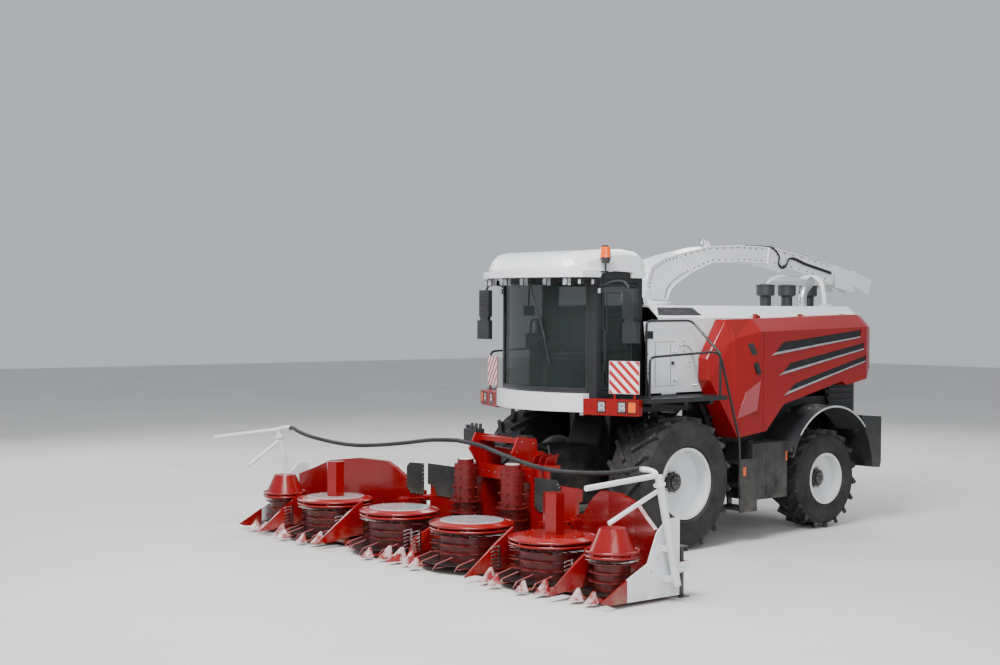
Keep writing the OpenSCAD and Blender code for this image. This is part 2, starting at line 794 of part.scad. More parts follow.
// Roof dome stations: x, half width, height of the side and half width and height of the top,
// the heights as shares of the roof's height
roof_stations = [
  [1580, 420, 0.29, 380, 0.32], [1560, 520, 0.30, 420, 0.42], [1520, 640, 0.32, 480, 0.57],
  [1450, 760, 0.34, 600, 0.70], [1350, 860, 0.38, 700, 0.81], [1200, 940, 0.50, 780, 0.90],
  [1000, 980, 0.68, 830, 0.96], [800, 1000, 0.77, 860, 0.99], [560, 1006, 0.80, 880, 1],
  [320, 1006, 0.76, 880, 0.93], [240, 1002, 0.63, 860, 0.82], [205, 990, 0.47, 800, 0.62]
];
roof_lip_h = 90;

module cab_roof() {
  color(white) placed() difference() {
    union() {
      translate([0, 0, cab_roof_z]) linear_extrude(roof_lip_h) intersection() {
        front_arc(1640, 1900, 0);
        translate([200, -cab_y - 60]) square([1600, 2 * cab_y + 120]);
      }
      loft([
        for (q = roof_stations)
          let (z0 = cab_roof_z + roof_lip_h - 40, z1 = cab_roof_z + q[2] * roof_h, z3 = cab_roof_z + q[4] * roof_h,
            y2 = (q[1] + q[3]) / 2 + 12, z2 = z1 + (z3 - z1) * 0.62)
            [
              [q[0], -q[1], z0], [q[0], q[1], z0], [q[0], q[1], z1], [q[0], y2, z2],
              [q[0], q[3], z3], [q[0], -q[3], z3], [q[0], -y2, z2], [q[0], -q[1], z1]
            ]
      ]);
    }
    // Arch in each side of the lip, above the door
    both_sides() plate_xz([[420, 3500], [450, cab_roof_z + 75], [760, cab_roof_z + 88], [1000, cab_roof_z + 56],
      [1120, 3500]], cab_y + 5, 1200);
  }
}

module seat() {
  color(grey) placed() {
    box([420, -250, 2480], [880, 250, 2600]);
    translate([440, 0, 2590]) rotate([0, -10, 0]) box([-110, -240, 0], [0, 240, 620]);
  }
}

module controls() {
  color(black) placed() {
    box([480, -150, cab_z0], [780, 150, 2480]);
    box([1060, -60, cab_z0], [1180, 60, cab_z0 + 50]);
    bar([1120, 0, cab_z0 + 20], [1010, 0, 2720], 70);
    translate([1005, 0, 2725]) rotate([0, -20, 0]) {
      rotate_extrude($fn = 32) translate([190, 0]) circle(d = 28, $fn = 16);
      for (a = [0:120:240]) rotate([0, 0, a]) bar([20, 0, 0], [190, 0, 0], 22);
      cylinder(h = 24, r = 45, center = true);
    }
    box([430, -450, cab_z0], [950, -290, 2680]);
  }
}

apron_y = 870;
bar_back = 130;

module apron() {
  color(white) placed() difference() {
    translate([0, 0, 1850]) linear_extrude(240) intersection() {
      front_arc(1460, 1650, 0);
      translate([1100, -apron_y]) square([700, 2 * apron_y]);
    }
    translate([0, 0, 1700]) linear_extrude(500) front_arc(1340, 1650, seat_gap);
  }
}

// Light bar's own frame: X forward out of its swept face, Y outwards along it
module bar_place() {
  translate([1205, apron_y, 0]) rotate([0, 0, 22.5]) children();
}

headlamp_y = [262, 547];

module light_bars() {
  color(red) placed() both_sides() {
    difference() {
      intersection() {
        bar_place() box([-bar_back, -80, 1820], [0, 777, 2030]);
        box([700, apron_y + seat_gap, 1800], [1300, 1700, 2100]);
      }
      bar_place() for (y = headlamp_y) box([-20, y - 54, 1862], [10, y + 54, 2004]);
      bar_place() box([-20, 628, 1857], [10, 750, 2010]);
      // Room for the cab's corner
      translate([0, 0, cab_floor_z - seat_gap]) linear_extrude(100) cab_plan(-seat_gap);
    }
    // Warning board on two posts
    bar_place() {
      box([-112, 324, 2100], [-100, 747, 2523]);
      for (y = [380, 660]) box([-124, y, 2020], [-112, y + 30, 2480]);
    }
  }
}

module lamps() {
  color("white") placed() {
    both_sides() {
      bar_place() for (y = headlamp_y) box([-20, y - 52, 1864], [6, y + 52, 2002]);
      bar_place() box([-20, 630, 1859], [8, 748, 2008]);
      for (y = [400, 760]) box([1440 - y / 12, y - 45, cab_roof_z - 105], [1500 - y / 12, y + 45, cab_roof_z]);
      // Rear lamps on the counterweight
      translate([-wheelbase, 0, 0]) box([-1240, 1250, 1380], [-1220, 1450, 1500]);
    }
    box([1450, -45, cab_roof_z - 105], [1520, 45, cab_roof_z]);
    // Beacon on its bracket beside the roof
    box([975, 1010 + seat_gap, cab_roof_z + 62], [1035, 1100, cab_roof_z + 82]);
    translate([1005, 1070, cab_roof_z + 70]) {
      cylinder(h = 120, r = 14);
      translate([0, 0, 110]) cylinder(h = 75, r1 = 50, r2 = 72);
      translate([0, 0, 185]) cylinder(h = 140, r1 = 72, r2 = 62);
      translate([0, 0, 325]) cylinder(h = 20, r1 = 62, r2 = 45);
    }
  }
}

module mirrors() {
  color(black) placed() both_sides() {
    tube_path([[1000, cab_y + 5, 3500], [1000, 1010, 3500], [960, 1180, 3560], [940, 1330, 3560], [940, 1440, 3480],
      [940, 1440, 2800]], 32);
    box([900, 1350, 3080], [970, 1560, 3460]);
    box([900, 1345, 2760], [970, 1600, 3030]);
    box([970, cab_y, 3460], [1030, cab_y + 20, 3540]);
  }
}

module air_intakes() {
  color(black) placed() for (x = [-2950, -3450, -3970])
    translate([x, 450, deck_z]) {
      cylinder(h = 145, r = 85);
      translate([0, 0, 140]) cylinder(h = 30, r1 = 85, r2 = 136);
      translate([0, 0, 170]) cylinder(h = 140, r = 136);
      translate([0, 0, 305]) cylinder(h = 14, r = 146);
      translate([0, 0, 319]) cylinder(h = 16, r1 = 130, r2 = 60);
    }
}

module exhaust() {
  color("silver") placed() difference() {
    tube_path([[-3480, 720, deck_z], [-3480, 720, deck_z + 160], [-3540, 720, deck_z + 270],
      [-3720, 720, deck_z + 400]], 130, 80, 16);
    // Slanting mouth
    plate_xz([[-3700, 3800], [-3700, deck_z + 335], [-3585, deck_z + 130], [-3585, deck_z + 60], [-4000, deck_z + 60],
      [-4000, 3800]], 600, 840);
  }
}

// Spout

// Spout stations: x and z of the upper side, x and z of the lower side
spout_stations = [
  [-680, 3330, -1100, 3330], [-660, 3600, -1140, 3450], [-740, 3800, -1240, 3540],
  [-980, 3920, -1420, 3640], [-1320, 4000, -1620, 3740], [-1960, 4120, -2050, 3890],
  [-2700, 4160, -2700, 3920], [-3330, 4150, -3300, 3900], [-4300, 4030, -4220, 3770],
  [-5000, 3890, -4920, 3600]
];

spout_pivot = [-620, 0, 3400];
flap_pivot = [-4980, 0, 3830];
tip_pivot = [-5440, 0, 3750];

// Upper or lower strip between the spout's side plates; k is 0 above and 2 below
module spout_strip(k) {
  y = spout_half_w - spout_wall - seat_gap;
  loft([
    for (q = spout_stations)
      let (a = [q[k], 0, q[k + 1]], b = [q[2 - k], 0, q[3 - k]], u = unit(b - a), w = [0, y, 0], t = spout_wall * u)
        k == 0 ? [a + w, a - w, a + t - w, a + t + w] : [a + t + w, a + t - w, a - w, a + w]
  ]);
}

module spout() {
  n = len(spout_stations);
  color(white) placed() {
    both_sides() {
      // Side plate
      plate_xz(concat([for (q = spout_stations) [q[0], q[1]]],
        [for (i = [n - 1:-1:0]) [spout_stations[i][2], spout_stations[i][3]]]),
        spout_half_w - spout_wall, spout_half_w);
      // Flanges where two lengths are bolted together
      for (i = [4, 7]) {
        q = spout_stations[i];
        plate_xz([[q[0] - 6, q[1]], [q[0] + 6, q[1]], [q[2] + 6, q[3]], [q[2] - 6, q[3]]],
          spout_half_w - 2, spout_half_w + 20);
      }
      // Hinge lugs at the base
      difference() {
        plate_xz([[-600, 3350], [-600, 3440], [-720, 3480], [-720, 3350]], spout_half_w - 2, spout_half_w + 14);
        disc_y(spout_pivot[0] - 5, spout_pivot[2], 14 + pin_gap, spout_half_w - 20, spout_half_w + 40);
      }
      // Pins of the flap
      disc_y(flap_pivot[0], flap_pivot[2], 12, spout_half_w - 6, spout_half_w + 32);
    }
    for (k = [0, 2]) spout_strip(k);
    // Work lamp on the spout's back
    box([-2150, -60, 4123], [-2060, 60, 4180]);
    box([-2150, -40, 4150], [-2060, 40, 4215]);
    translate([-2061, 0, 4190]) rotate([0, 90, 0]) cylinder(h = 36, r = 46);
  }
}

module turntable() {
  color(white) placed() {
    translate([-turntable_back, 0, deck_z + 25 + seat_gap]) difference() {
      cylinder(h = 40, r = turntable_r);
      translate([0, 0, -1]) cylinder(h = 60, r = turntable_r - 80);
    }
    both_sides() {
      plate_xz([[-560, deck_z + 60], [-590, 3430], [-660, 3430], [-720, deck_z + 60]], spout_half_w + 20,
        spout_half_w + 40);
      disc_y(spout_pivot[0] - 5, spout_pivot[2], 14, spout_half_w - 1, spout_half_w + 24);
    }
  }
}

// Deflector: a hood open below and at both ends, from the upper point a back to b
module deflector(a, b, w, front_low, rear_low) {
  t = 6;
  u = unit(b - a);
  difference() {
    plate_xz([a, b, rear_low, front_low], -w, w);
    plate_xz([a - 60 * u - [0, t], b + 60 * u - [0, t], rear_low - [60, 60], front_low + [60, -60]], -w + t, w - t);
  }
}

module spout_flap() {
  w = spout_half_w + 26;
  color(white) placed() difference() {
    deflector([-4950, 3915], [-5445, 3800], w, [-4950, 3560], [-5440, 3480]);
    disc_y(flap_pivot[0], flap_pivot[2], 12 + pin_gap, -w - 20, w + 20);
    box([-5010, -spout_half_w - 10, 3000], [-4900, spout_half_w + 10, 4000]);
  }
  color(white) placed() both_sides() disc_y(tip_pivot[0], tip_pivot[2], 10, w - 2, w + 24);
}

module spout_tip() {
  w = spout_half_w + 42;
  color(white) placed() difference() {
    deflector([-5410, 3828], [-5900, 3684], w, [-5410, 3600], [-5800, 3450]);
    disc_y(tip_pivot[0], tip_pivot[2], 10 + pin_gap, -w - 20, w + 20);
  }
}

// Header

module feeder_house() {
  color(black) placed() difference() {
    union() {
      plate_xz([[430, 700], [700, 420], [1560, 330], [1560, 1080], [900, 1340], [500, 1340], [430, 1150]],
        -350, 350);
      // Flange against the header
      box([1520, -420, 345], [1560, 420, 1110]);
      both_sides() {
        // Cheeks on the pivot pins and pins of the lift cylinders
        plate_xz([[350, 1088], [600, 1000], [600, 1250], [350, 1212]], 300 + seat_gap, 345);
        disc_y(header_pivot[0], header_pivot[2], 62, 300 + seat_gap, 345);
        disc_y(lift_eye[0], lift_eye[2], 18, 340, lift_y + 30);
      }
    }
    plate_xz([[900, 560], [1600, 430], [1600, 980], [900, 1180]], -310, 310);
    disc_y(header_pivot[0], header_pivot[2], 30 + pin_gap, -400, 400);
  }
}

function rotor_centre(k) = k == 3 ? [3100, small_rotor_y] : [rotor_x, rotor_pitch * (k - 0.5)];

pan_z = 45;
pan_t = 45;
stand_x = 2340;
stand_y = 3660;
stand_fit = stand_w / 2 + seat_gap;

// Gearbox stub below a rotor
module rotor_seat(k) {
  translate(rotor_centre(k)) translate([0, 0, pan_z]) cylinder(h = blade_z - seat_gap - pan_z, r = k == 3 ? 110 : 170);
}

// Pointed guard in front of a rotor
module guard(x, y) {
  loft([
    [[x, y - 4, 45], [x, y + 4, 45], [x, y + 4, 52], [x, y - 4, 52]],
    [[x - 200, y - 55, 45], [x - 200, y + 55, 45], [x - 200, y + 10, 98], [x - 200, y - 10, 98]],
    [[x - 340, y - 40, 50], [x - 340, y + 40, 50], [x - 340, y + 30, 88], [x - 340, y - 30, 88]]
  ]);
}

// Divider between two rotors: x of the tip, y, rear x, half width, height
module divider(tip, y, rear, w, h) {
  loft([
    [[tip, y - 8, 70], [tip, y + 8, 70], [tip, y + 4, 84], [tip, y - 4, 84]],
    [[rear + 260, y - w, 130], [rear + 260, y + w, 130], [rear + 260, y + 20, h * 0.72],
      [rear + 260, y - 20, h * 0.72]],
    [[rear, y - 30, 140], [rear, y + 30, 140], [rear, y + 20, h], [rear, y - 20, h]]
  ]);
}

module header_frame() {
  color(red) placed() {
    // Pan below the rotors
    plate_xy([[1900, -1470], [3300, -1470], [3300, 1470], [1900, 1470]], pan_z, pan_z + pan_t);
    both_sides() {
      rotor_seat(1);
      // Back wall and mouth cheeks
      box([1840, 630, pan_z], [1900, 1480, 960]);
      box([1800, 400, pan_z + 100], [1840, 640, 960]);
      box([1580, 360, 300], [1840, 400, 1300]);
      box([1800, 360, 300], [1840, 400, 1120]);
    }
    plate_xy([[1800, -640], [1910, -640], [1910, 640], [1800, 640]], pan_z, pan_z + pan_t);
    box([1780, -660, 950], [1900, 660, 1120]);
    both_sides() box([1780, 640, 790], [1880, 1480, 940]);
    // Upper centre frame with sloping plates
    both_sides() plate_xz([[1600, 1100], [1900, 1100], [2060, 1330], [1950, 1540], [1640, 1500]], 420, 450);
    box([1640, -450, 1440], [1900, 450, 1500]);
    both_sides() box([1560, 355, 300], [1600, 500, 1330]);
    box([1560, -500, 1250], [1660, 500, 1330]);
    // Fold hinge eyes
    both_sides() for (x = [1860, 2360]) difference() {
      union() {
        translate([x, fold_y, fold_z]) rotate([0, 90, 0]) cylinder(h = 80, r = 45);
        box([x, fold_y - 120, fold_z - 30], [x + 80, fold_y, fold_z + 30]);
        box([x, fold_y - 120, pan_z + 20], [x + 80, fold_y - 60, fold_z + 30]);
      }
      translate([x - 10, fold_y, fold_z]) rotate([0, 90, 0]) cylinder(h = 100, r = 20 + pin_gap);
    }
    for (y = [-470, -230, 230, 470]) guard(3600, y * 1.05);
    guard(3640, 0);
    divider(3400, 0, 3040, 60, 420);
    box([3230, -50, pan_z + pan_t - 5], [3295, 50, 160]);
  }
}

module lift_barrels() {
  v = lift_eye - lift_base;
  l = norm(v);
  color(grey) placed() both_sides()
    translate(lift_base + [0, lift_y, 0]) rotate([0, -atan2(v[2], v[0]), 0]) difference() {
      union() {
        translate([70, 0, 0]) rotate([0, 90, 0]) cylinder(h = 740, r = 45);
        disc_y(0, 0, 44, -18, 18);
        box([0, -18, -30], [80, 18, 30]);
      }
      disc_y(0, 0, lift_pin_r + pin_gap, -40, 40);
      translate([300, 0, 0]) rotate([0, 90, 0]) cylinder(h = l, r = 25 + pin_gap);
    }
}

module lift_rods() {
  v = lift_eye - lift_base;
  l = norm(v);
  color("silver") placed() both_sides()
    translate(lift_base + [0, lift_y, 0]) rotate([0, -atan2(v[2], v[0]), 0]) difference() {
      union() {
        translate([330, 0, 0]) rotate([0, 90, 0]) cylinder(h = l - 330 - 30, r = 25);
        disc_y(l, 0, 46, -18, 18);
      }
      disc_y(l, 0, 18 + eye_gap, -40, 40);
    }
}

module feed_drum(s) {
  color(red) placed() on_side(s) translate([2080, feed_drum_y, 0]) {
    translate([0, 0, pan_z + pan_t + seat_gap]) cylinder(h = 1100, r = 110);
    for (z = [180, 330, 480, 630]) translate([0, 0, z]) cylinder(h = 14, r = feed_drum_r, $fn = 12);
    translate([0, 0, 350]) cylinder(h = 780, r = 150);
    translate([0, 0, 1140]) cylinder(h = 50, r = 95);
  }
}

module wing(s) {
  color(red) placed() on_side(s) {
    plate_xy([[1900, 1530], [3300, 1530], [3300, 3300], [3420, 3720], [2500, 3720], [2150, 3000]],
      pan_z, pan_z + pan_t);
    rotor_seat(2);
    rotor_seat(3);
    // Curved back wall with a humped upper edge
    intersection() {
      plate_xy([[1900, 1560], [2150, 2400], [2420, 3100], [2640, 3600], [2700, 3600], [2480, 3080],
        [2210, 2380], [1960, 1560]], pan_z, 1100);
      plate_yz([[1500, 0], [1500, 640], [1740, 690], [1900, 850], [2040, 950], [2180, 1025], [2650, 1045],
        [3100, 990], [3350, 870], [3620, 760], [3620, 0]], 1800, 2800);
    }
    // Hinge eyes
    for (x = [1945, 2275]) {
      translate([x, fold_y, fold_z]) rotate([0, 90, 0]) cylinder(h = 80, r = 45);
      box([x, fold_y, fold_z - 30], [x + 80, fold_y + 110, fold_z + 30]);
      box([x, fold_y + 60, pan_z + 20], [x + 80, fold_y + 110, fold_z + 30]);
    }
    translate([1850, fold_y, fold_z]) rotate([0, 90, 0]) cylinder(h = 600, r = 20);
    // End plate
    plate_xz([[2450, pan_z], [3530, pan_z + 10], [3640, 90], [3250, 300], [2940, 440], [2800, 760], [2640, 900],
      [2450, 900]], 3720, 3745);
    for (y = [1780, 2020, 2490, 2730]) guard(3620, y);
    for (y = [3230, 3470]) guard(3560, y);
    divider(3740, 1500 + 60, 3000, 55, 600);
    divider(3740, 3000, 3050, 90, 560);
    // Feet of the dividers between the blades
    box([3230, 1535, pan_z + pan_t - 5], [3295, 1568, 160]);
    box([3240, 2926, pan_z + pan_t - 5], [3295, 3000, 160]);
    // Guide of the parking stand
    difference() {
      box([2270, 3600, 300], [2490, 3735, 400]);
      box([stand_x - stand_fit, stand_y - stand_fit, 200], [stand_x + stand_fit, stand_y + stand_fit, 600]);
    }
  }
}

module end_frame(s) {
  color(white) placed() on_side(s) {
    tube_path([[2600, post_y, 180], [2900, post_y, 1400]], post_d, n = 14);
    tube_path([[3978, post_y, 1343], [2920, post_y, 1405], [2880, 3760, 1435], [2870, 3670, 1446],
      [2870, 3560, 1446]], 60);
    bar([2880, post_y, 1250], [3500, 3700, 920], 50);
    for (z = [230, 560]) box([2580, 3745, z], [2740, post_y, z + 60]);
    // Gusset behind the post's foot
    plate_xz([[2570, 300], [2420, 330], [2560, 430], [2680, 660], [2720, 660], [2640, 300]], post_y - 40, post_y - 20);
    translate([2880, post_y, 1290]) rotate([0, 14, 0]) cylinder(h = 22, r = 66);
  }
}

module rotor_body(ring, drum, blade, n_teeth) {
  pitch = 360 / n_teeth;
  translate([0, 0, blade_z]) linear_extrude(12) difference() {
    // Each tooth: foot, tip and foot, as angle and radius
    polygon([for (i = [0:n_teeth - 1]) for (p = [[-0.3, blade - 24], [0, blade], [0.3, blade - 24]])
      p[1] * [cos((i + p[0]) * pitch), sin((i + p[0]) * pitch)]]);
    circle(r = drum - 160);
  }
  translate([0, 0, blade_z]) cylinder(h = ring_z - 60 - blade_z, r = drum);
  for (z = [220, 320, 420]) translate([0, 0, z]) cylinder(h = 14, r = drum + 60, $fn = 12);
  translate([0, 0, ring_z - 62]) cylinder(h = 20, r = ring - 6);
  for (a = [0:45:315]) rotate([0, 0, a]) box([ring - 24, -12, ring_z - 50], [ring - 8, 12, ring_z]);
  for (z = [ring_z - 50, ring_z]) translate([0, 0, z])
    rotate_extrude() translate([ring - 16, 0]) circle(r = 16, $fn = 16);
}

module rotor(k, s) {
  c = rotor_centre(k);
  color(red) placed() on_side(s) translate([c[0], c[1], 0]) {
    if (k == 3) {
      rotor_body(small_ring_r, small_ring_r - 110, small_blade_r, 18);
      translate([0, 0, ring_z - 50]) cylinder(h = 300, r1 = 285, r2 = 150);
    } else {
      rotor_body(ring_r, drum_r, blade_r, 30);
      translate([0, 0, ring_z - 50]) cylinder(h = 60, r = 260);
      if (k == 2) translate([0, 0, ring_z]) cylinder(h = 520, r = 130, $fn = 6);
    }
  }
}

module stand(s) {
  color(black) placed() on_side(s) {
    box([stand_x - stand_w / 2, stand_y - stand_w / 2, 5], [stand_x + stand_w / 2, stand_y + stand_w / 2, 560]);
    box([stand_x - 80, stand_y - 70, 0], [stand_x + 80, stand_y + 70, 12]);
    box([stand_x - 70, stand_y - 60, 555], [stand_x + 70, stand_y + 60, 567]);
  }
}

// Crop-guide hose between the end frames, over the middle of the header
hose_route = [
  [2870, 3560 - seat_gap, 1446], [2870, 3500, 1446], [2880, 3300, 1400], [2880, 3000, 1355],
  [2860, 2500, 1315], [2830, 2000, 1305], [2770, 1500, 1340], [2700, 1000, 1400],
  [2640, 500, 1470], [2620, 0, 1500]
];

module crop_hose() {
  color(black) placed() both_sides() tube_path(hose_route, hose_d, 0, 8);
}

chassis_frame();
axles();
engine();
side_skirts();
deck();
side_panels();
hood_fronts();
walkways();
rear_panel();
counterweight();
cab_frame();
cab_glass();
cab_roof();
seat();
controls();
apron();
light_bars();
lamps();
mirrors();
air_intakes();
exhaust();
front_tyre(1);  // front_tyre_left
front_tyre(-1);  // front_tyre_right
rear_tyre(1);  // rear_tyre_left
rear_tyre(-1);  // rear_tyre_right
front_rim(1);  // front_rim_left
front_rim(-1);  // front_rim_right
rear_rim(1);  // rear_rim_left
rear_rim(-1);  // rear_rim_right
knuckle(1);  // knuckle_left
knuckle(-1);  // knuckle_right
cab_door();
door_glass();
hood(1);  // hood_left
hood(-1);  // hood_right
service_door();
turntable();
spout();
spout_flap();
spout_tip();
feeder_house();
header_frame();
lift_barrels();
lift_rods();
feed_drum(1);  // feed_drum_left
feed_drum(-1);  // feed_drum_right
wing(1);  // wing_left
wing(-1);  // wing_right
end_frame(1);  // end_frame_left
end_frame(-1);  // end_frame_right
rotor(1, 1);  // rotor_left_1
rotor(2, 1);  // rotor_left_2
rotor(3, 1);  // rotor_left_3
rotor(1, -1);  // rotor_right_1
rotor(2, -1);  // rotor_right_2
rotor(3, -1);  // rotor_right_3
stand(1);  // stand_left
stand(-1);  // stand_right
crop_hose();
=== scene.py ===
import math

import bmesh
import bpy
from mathutils import Matrix, Vector


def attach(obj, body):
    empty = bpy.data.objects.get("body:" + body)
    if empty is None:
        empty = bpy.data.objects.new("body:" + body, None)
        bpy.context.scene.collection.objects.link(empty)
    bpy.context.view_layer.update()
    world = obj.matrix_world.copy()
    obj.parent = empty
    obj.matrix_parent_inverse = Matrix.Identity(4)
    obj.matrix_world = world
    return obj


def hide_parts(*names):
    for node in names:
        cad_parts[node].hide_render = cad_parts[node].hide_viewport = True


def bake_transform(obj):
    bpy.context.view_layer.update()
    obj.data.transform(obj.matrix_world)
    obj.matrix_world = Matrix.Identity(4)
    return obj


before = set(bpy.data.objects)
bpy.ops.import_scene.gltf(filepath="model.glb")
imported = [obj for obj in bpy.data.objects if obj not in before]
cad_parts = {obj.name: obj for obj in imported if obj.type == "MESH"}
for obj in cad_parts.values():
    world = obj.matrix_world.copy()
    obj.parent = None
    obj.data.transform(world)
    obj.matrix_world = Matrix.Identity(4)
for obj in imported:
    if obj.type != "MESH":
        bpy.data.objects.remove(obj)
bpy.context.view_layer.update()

# Metres. Places are measured from the ground below the front axle, which lies SHIFT in front of the origin.
SHIFT = 0.96
WHEELBASE = 3.19
FRONT_WHEEL = (0.0, 1.27, 0.895)
REAR_WHEEL = (-WHEELBASE, 1.18, 0.725)
SIDES = (("left", 1), ("right", -1))
BAR_X, BAR_Y = 1.205, 0.87
BAR_SWEEP = math.radians(22.5)
FORWARD, LEFT, UP = (1, 0, 0), (0, 1, 0), (0, 0, 1)


def at(x, y, z):
    """A place measured from below the front axle, in the part's own frame."""
    return Vector((x + SHIFT, y, z))


def between(a, b, t):
    """The values that lie the share t of the way from a to b."""
    return tuple(p + (q - p) * t for p, q in zip(a, b))


def angles(count, start=0.0):
    """The angles of even steps round a circle."""
    return [2 * math.pi * (i + start) / count for i in range(count)]


# Camera

CAMERA_AT = at(14.56, 14.99, 3.19)
CAMERA_YAW = math.radians(49.8)
CAMERA_PITCH = math.radians(0.90)
CAMERA_ROLL = math.radians(0.23)
CAMERA_LENS = 53.64
SENSOR_WIDTH = 36


def make_camera():
    data = bpy.data.cameras.new("camera")
    data.lens = CAMERA_LENS
    data.sensor_width = SENSOR_WIDTH
    data.clip_end = 200
    camera = bpy.data.objects.new("camera", data)
    look = Vector((
        -math.cos(CAMERA_YAW) * math.cos(CAMERA_PITCH),
        -math.sin(CAMERA_YAW) * math.cos(CAMERA_PITCH),
        -math.sin(CAMERA_PITCH),
    ))
    turn = look.to_track_quat("-Z", "Y").to_matrix() @ Matrix.Rotation(CAMERA_ROLL, 3, "Z")
    camera.matrix_world = Matrix.Translation(CAMERA_AT) @ turn.to_4x4()
    bpy.context.scene.collection.objects.link(camera)
    bpy.context.scene.camera = camera


# Materials


class Look:
    """A material under construction: its nodes, links and main shader."""

    def __init__(self, name):
        self.material = bpy.data.materials.new(name)
        self.material.use_nodes = True
        self.nodes = self.material.node_tree.nodes
        self.links = self.material.node_tree.links
        self.shader = self.nodes["Principled BSDF"]
        self.place = self.nodes.new("ShaderNodeTexCoord").outputs["Object"]

    def feed(self, socket, value):
        """Links the socket to another one, or sets its value. A colour gets an alpha of one."""
        if isinstance(value, bpy.types.NodeSocket):
            self.links.new(value, socket)
        elif socket.type == "RGBA":
            socket.default_value = (*value, 1.0)
        else:
            socket.default_value = value

    def set(self, **values):
        for name, value in values.items():
            self.feed(self.shader.inputs[name.replace("_", " ")], value)
        return self

    def to(self, socket, value):
        self.feed(self.shader.inputs[socket], value)
        return self

    def node(self, kind, inputs, **settings):
        made = self.nodes.new(kind)
        for key, value in settings.items():
            setattr(made, key, value)
        for key, value in inputs.items():
            self.feed(made.inputs[key], value)
        return made

    def math(self, operation, a, b=0.0):
        return self.node("ShaderNodeMath", {0: a, 1: b}, operation=operation).outputs[0]

    def axis(self, which):
        return self.node("ShaderNodeSeparateXYZ", {0: self.place}).outputs["XYZ".index(which)]

    def noise(self, scale, detail=3.0, roughness=0.55, place=None):
        return self.node("ShaderNodeTexNoise", {
            "Vector": place or self.place, "Scale": scale, "Detail": detail, "Roughness": roughness,
        }).outputs["Fac"]

    def cells(self, scale, randomness=1.0):
        """The distance to the middle of the nearest cell."""
        return self.node("ShaderNodeTexVoronoi", {
            "Vector": self.place, "Scale": scale, "Randomness": randomness,
        }).outputs["Distance"]

    def ramp(self, value, low, high, out_low=0.0, out_high=1.0):
        return self.node("ShaderNodeMapRange", {
            "Value": value, "From Min": low, "From Max": high, "To Min": out_low, "To Max": out_high,
        }).outputs["Result"]

    def patches(self, scale, detail, low=0.3, high=0.7, roughness=0.55):
        """Soft patches from 0 to 1: the noise, spread between low and high."""
        return self.ramp(self.noise(scale, detail, roughness), low, high)

    def mix(self, factor, a, b):
        return self.node("ShaderNodeMix", {0: factor, 6: a, 7: b}, data_type="RGBA").outputs[2]

    def wander(self, scale, detail, smooth, rough, low=0.3, high=0.7):
        """A roughness that goes in patches from smooth to rough."""
        return self.ramp(self.noise(scale, detail), low, high, smooth, rough)

    def bump(self, height, strength, distance=0.002):
        made = self.node("ShaderNodeBump", {"Height": height, "Strength": strength, "Distance": distance})
        return self.to("Normal", made.outputs["Normal"])


DUST = (0.34, 0.29, 0.23)


def shade(colour, factor, lift=0.0):
    return tuple(min(1.0, c * factor + lift) for c in colour)


def dusted(look, colour, share, top):
    """The colour with road dust that thins out upwards and gathers in patches."""
    low = look.ramp(look.axis("Z"), 0.0, top, share, 0.0)
    return look.mix(look.math("MULTIPLY", low, look.patches(5.0, 6.0, 0.35, 0.75)), colour, DUST)


def paint(name, colour, roughness, coat, darker=0.12, dust_top=1.6, dust=0.35):
    look = Look(name).set(Metallic=0.0, Coat_Weight=coat, Coat_Roughness=0.06, IOR=1.45)
    tone = look.mix(look.patches(1.3, 4.0), shade(colour, 1 - darker), colour)
    look.to("Base Color", dusted(look, tone, dust, dust_top))
    look.to("Roughness", look.wander(7.0, 5.0, roughness - 0.02, roughness + 0.12, 0.0, 1.0))
    look.bump(look.noise(3.0, 1.0), 0.05, 0.002)
    return look.material


def rubber(name, colour, roughness=0.75):
    look = Look(name).set(Metallic=0.0, IOR=1.45, Specular_IOR_Level=0.35)
    tone = look.mix(look.patches(3.0, 6.0, 0.3, 0.75), colour, shade(colour, 1.9, 0.01))
    look.to("Base Color", dusted(look, tone, 0.55, 0.9))
    look.to("Roughness", look.wander(12.0, 4.0, roughness - 0.08, roughness + 0.1))
    look.bump(look.noise(220.0, 3.0), 0.15, 0.0015)
    return look.material


def tyre_rubber(name, wheel):
    """Rubber with fine moulded rings on the sidewall, round that wheel's axle."""
    look = Look(name).set(Metallic=0.0, IOR=1.45, Specular_IOR_Level=0.3)
    centre, tread_r, ring_gap = at(*wheel), wheel[2], 0.021
    dx = look.math("SUBTRACT", look.axis("X"), centre.x)
    dz = look.math("SUBTRACT", look.axis("Z"), centre.z)
    radius = look.math("SQRT", look.math("ADD", look.math("MULTIPLY", dx, dx), look.math("MULTIPLY", dz, dz)))
    rings = look.math("SINE", look.math("MULTIPLY", radius, 2 * math.pi / ring_gap))
    black, grey, dirt = (0.018, 0.018, 0.019), (0.045, 0.043, 0.041), (0.16, 0.135, 0.11)
    tone = look.mix(look.patches(4.0, 6.0, 0.3, 0.75), black, grey)
    scuffs = look.patches(26.0, 5.0, 0.52, 0.72, 0.7)
    tread = look.ramp(radius, tread_r - 0.09, tread_r - 0.01, 0.0, 0.75)
    look.to("Base Color", look.mix(look.math("MULTIPLY", scuffs, tread), tone, dirt))
    look.to("Roughness", look.wander(9.0, 4.0, 0.62, 0.86))
    wall = look.ramp(radius, tread_r - 0.13, tread_r - 0.16)
    raised = look.math("MULTIPLY", rings, look.math("MULTIPLY", wall, 0.6))
    look.bump(look.math("ADD", raised, look.noise(150.0, 3.0)), 0.35, 0.0025)
    return look.material


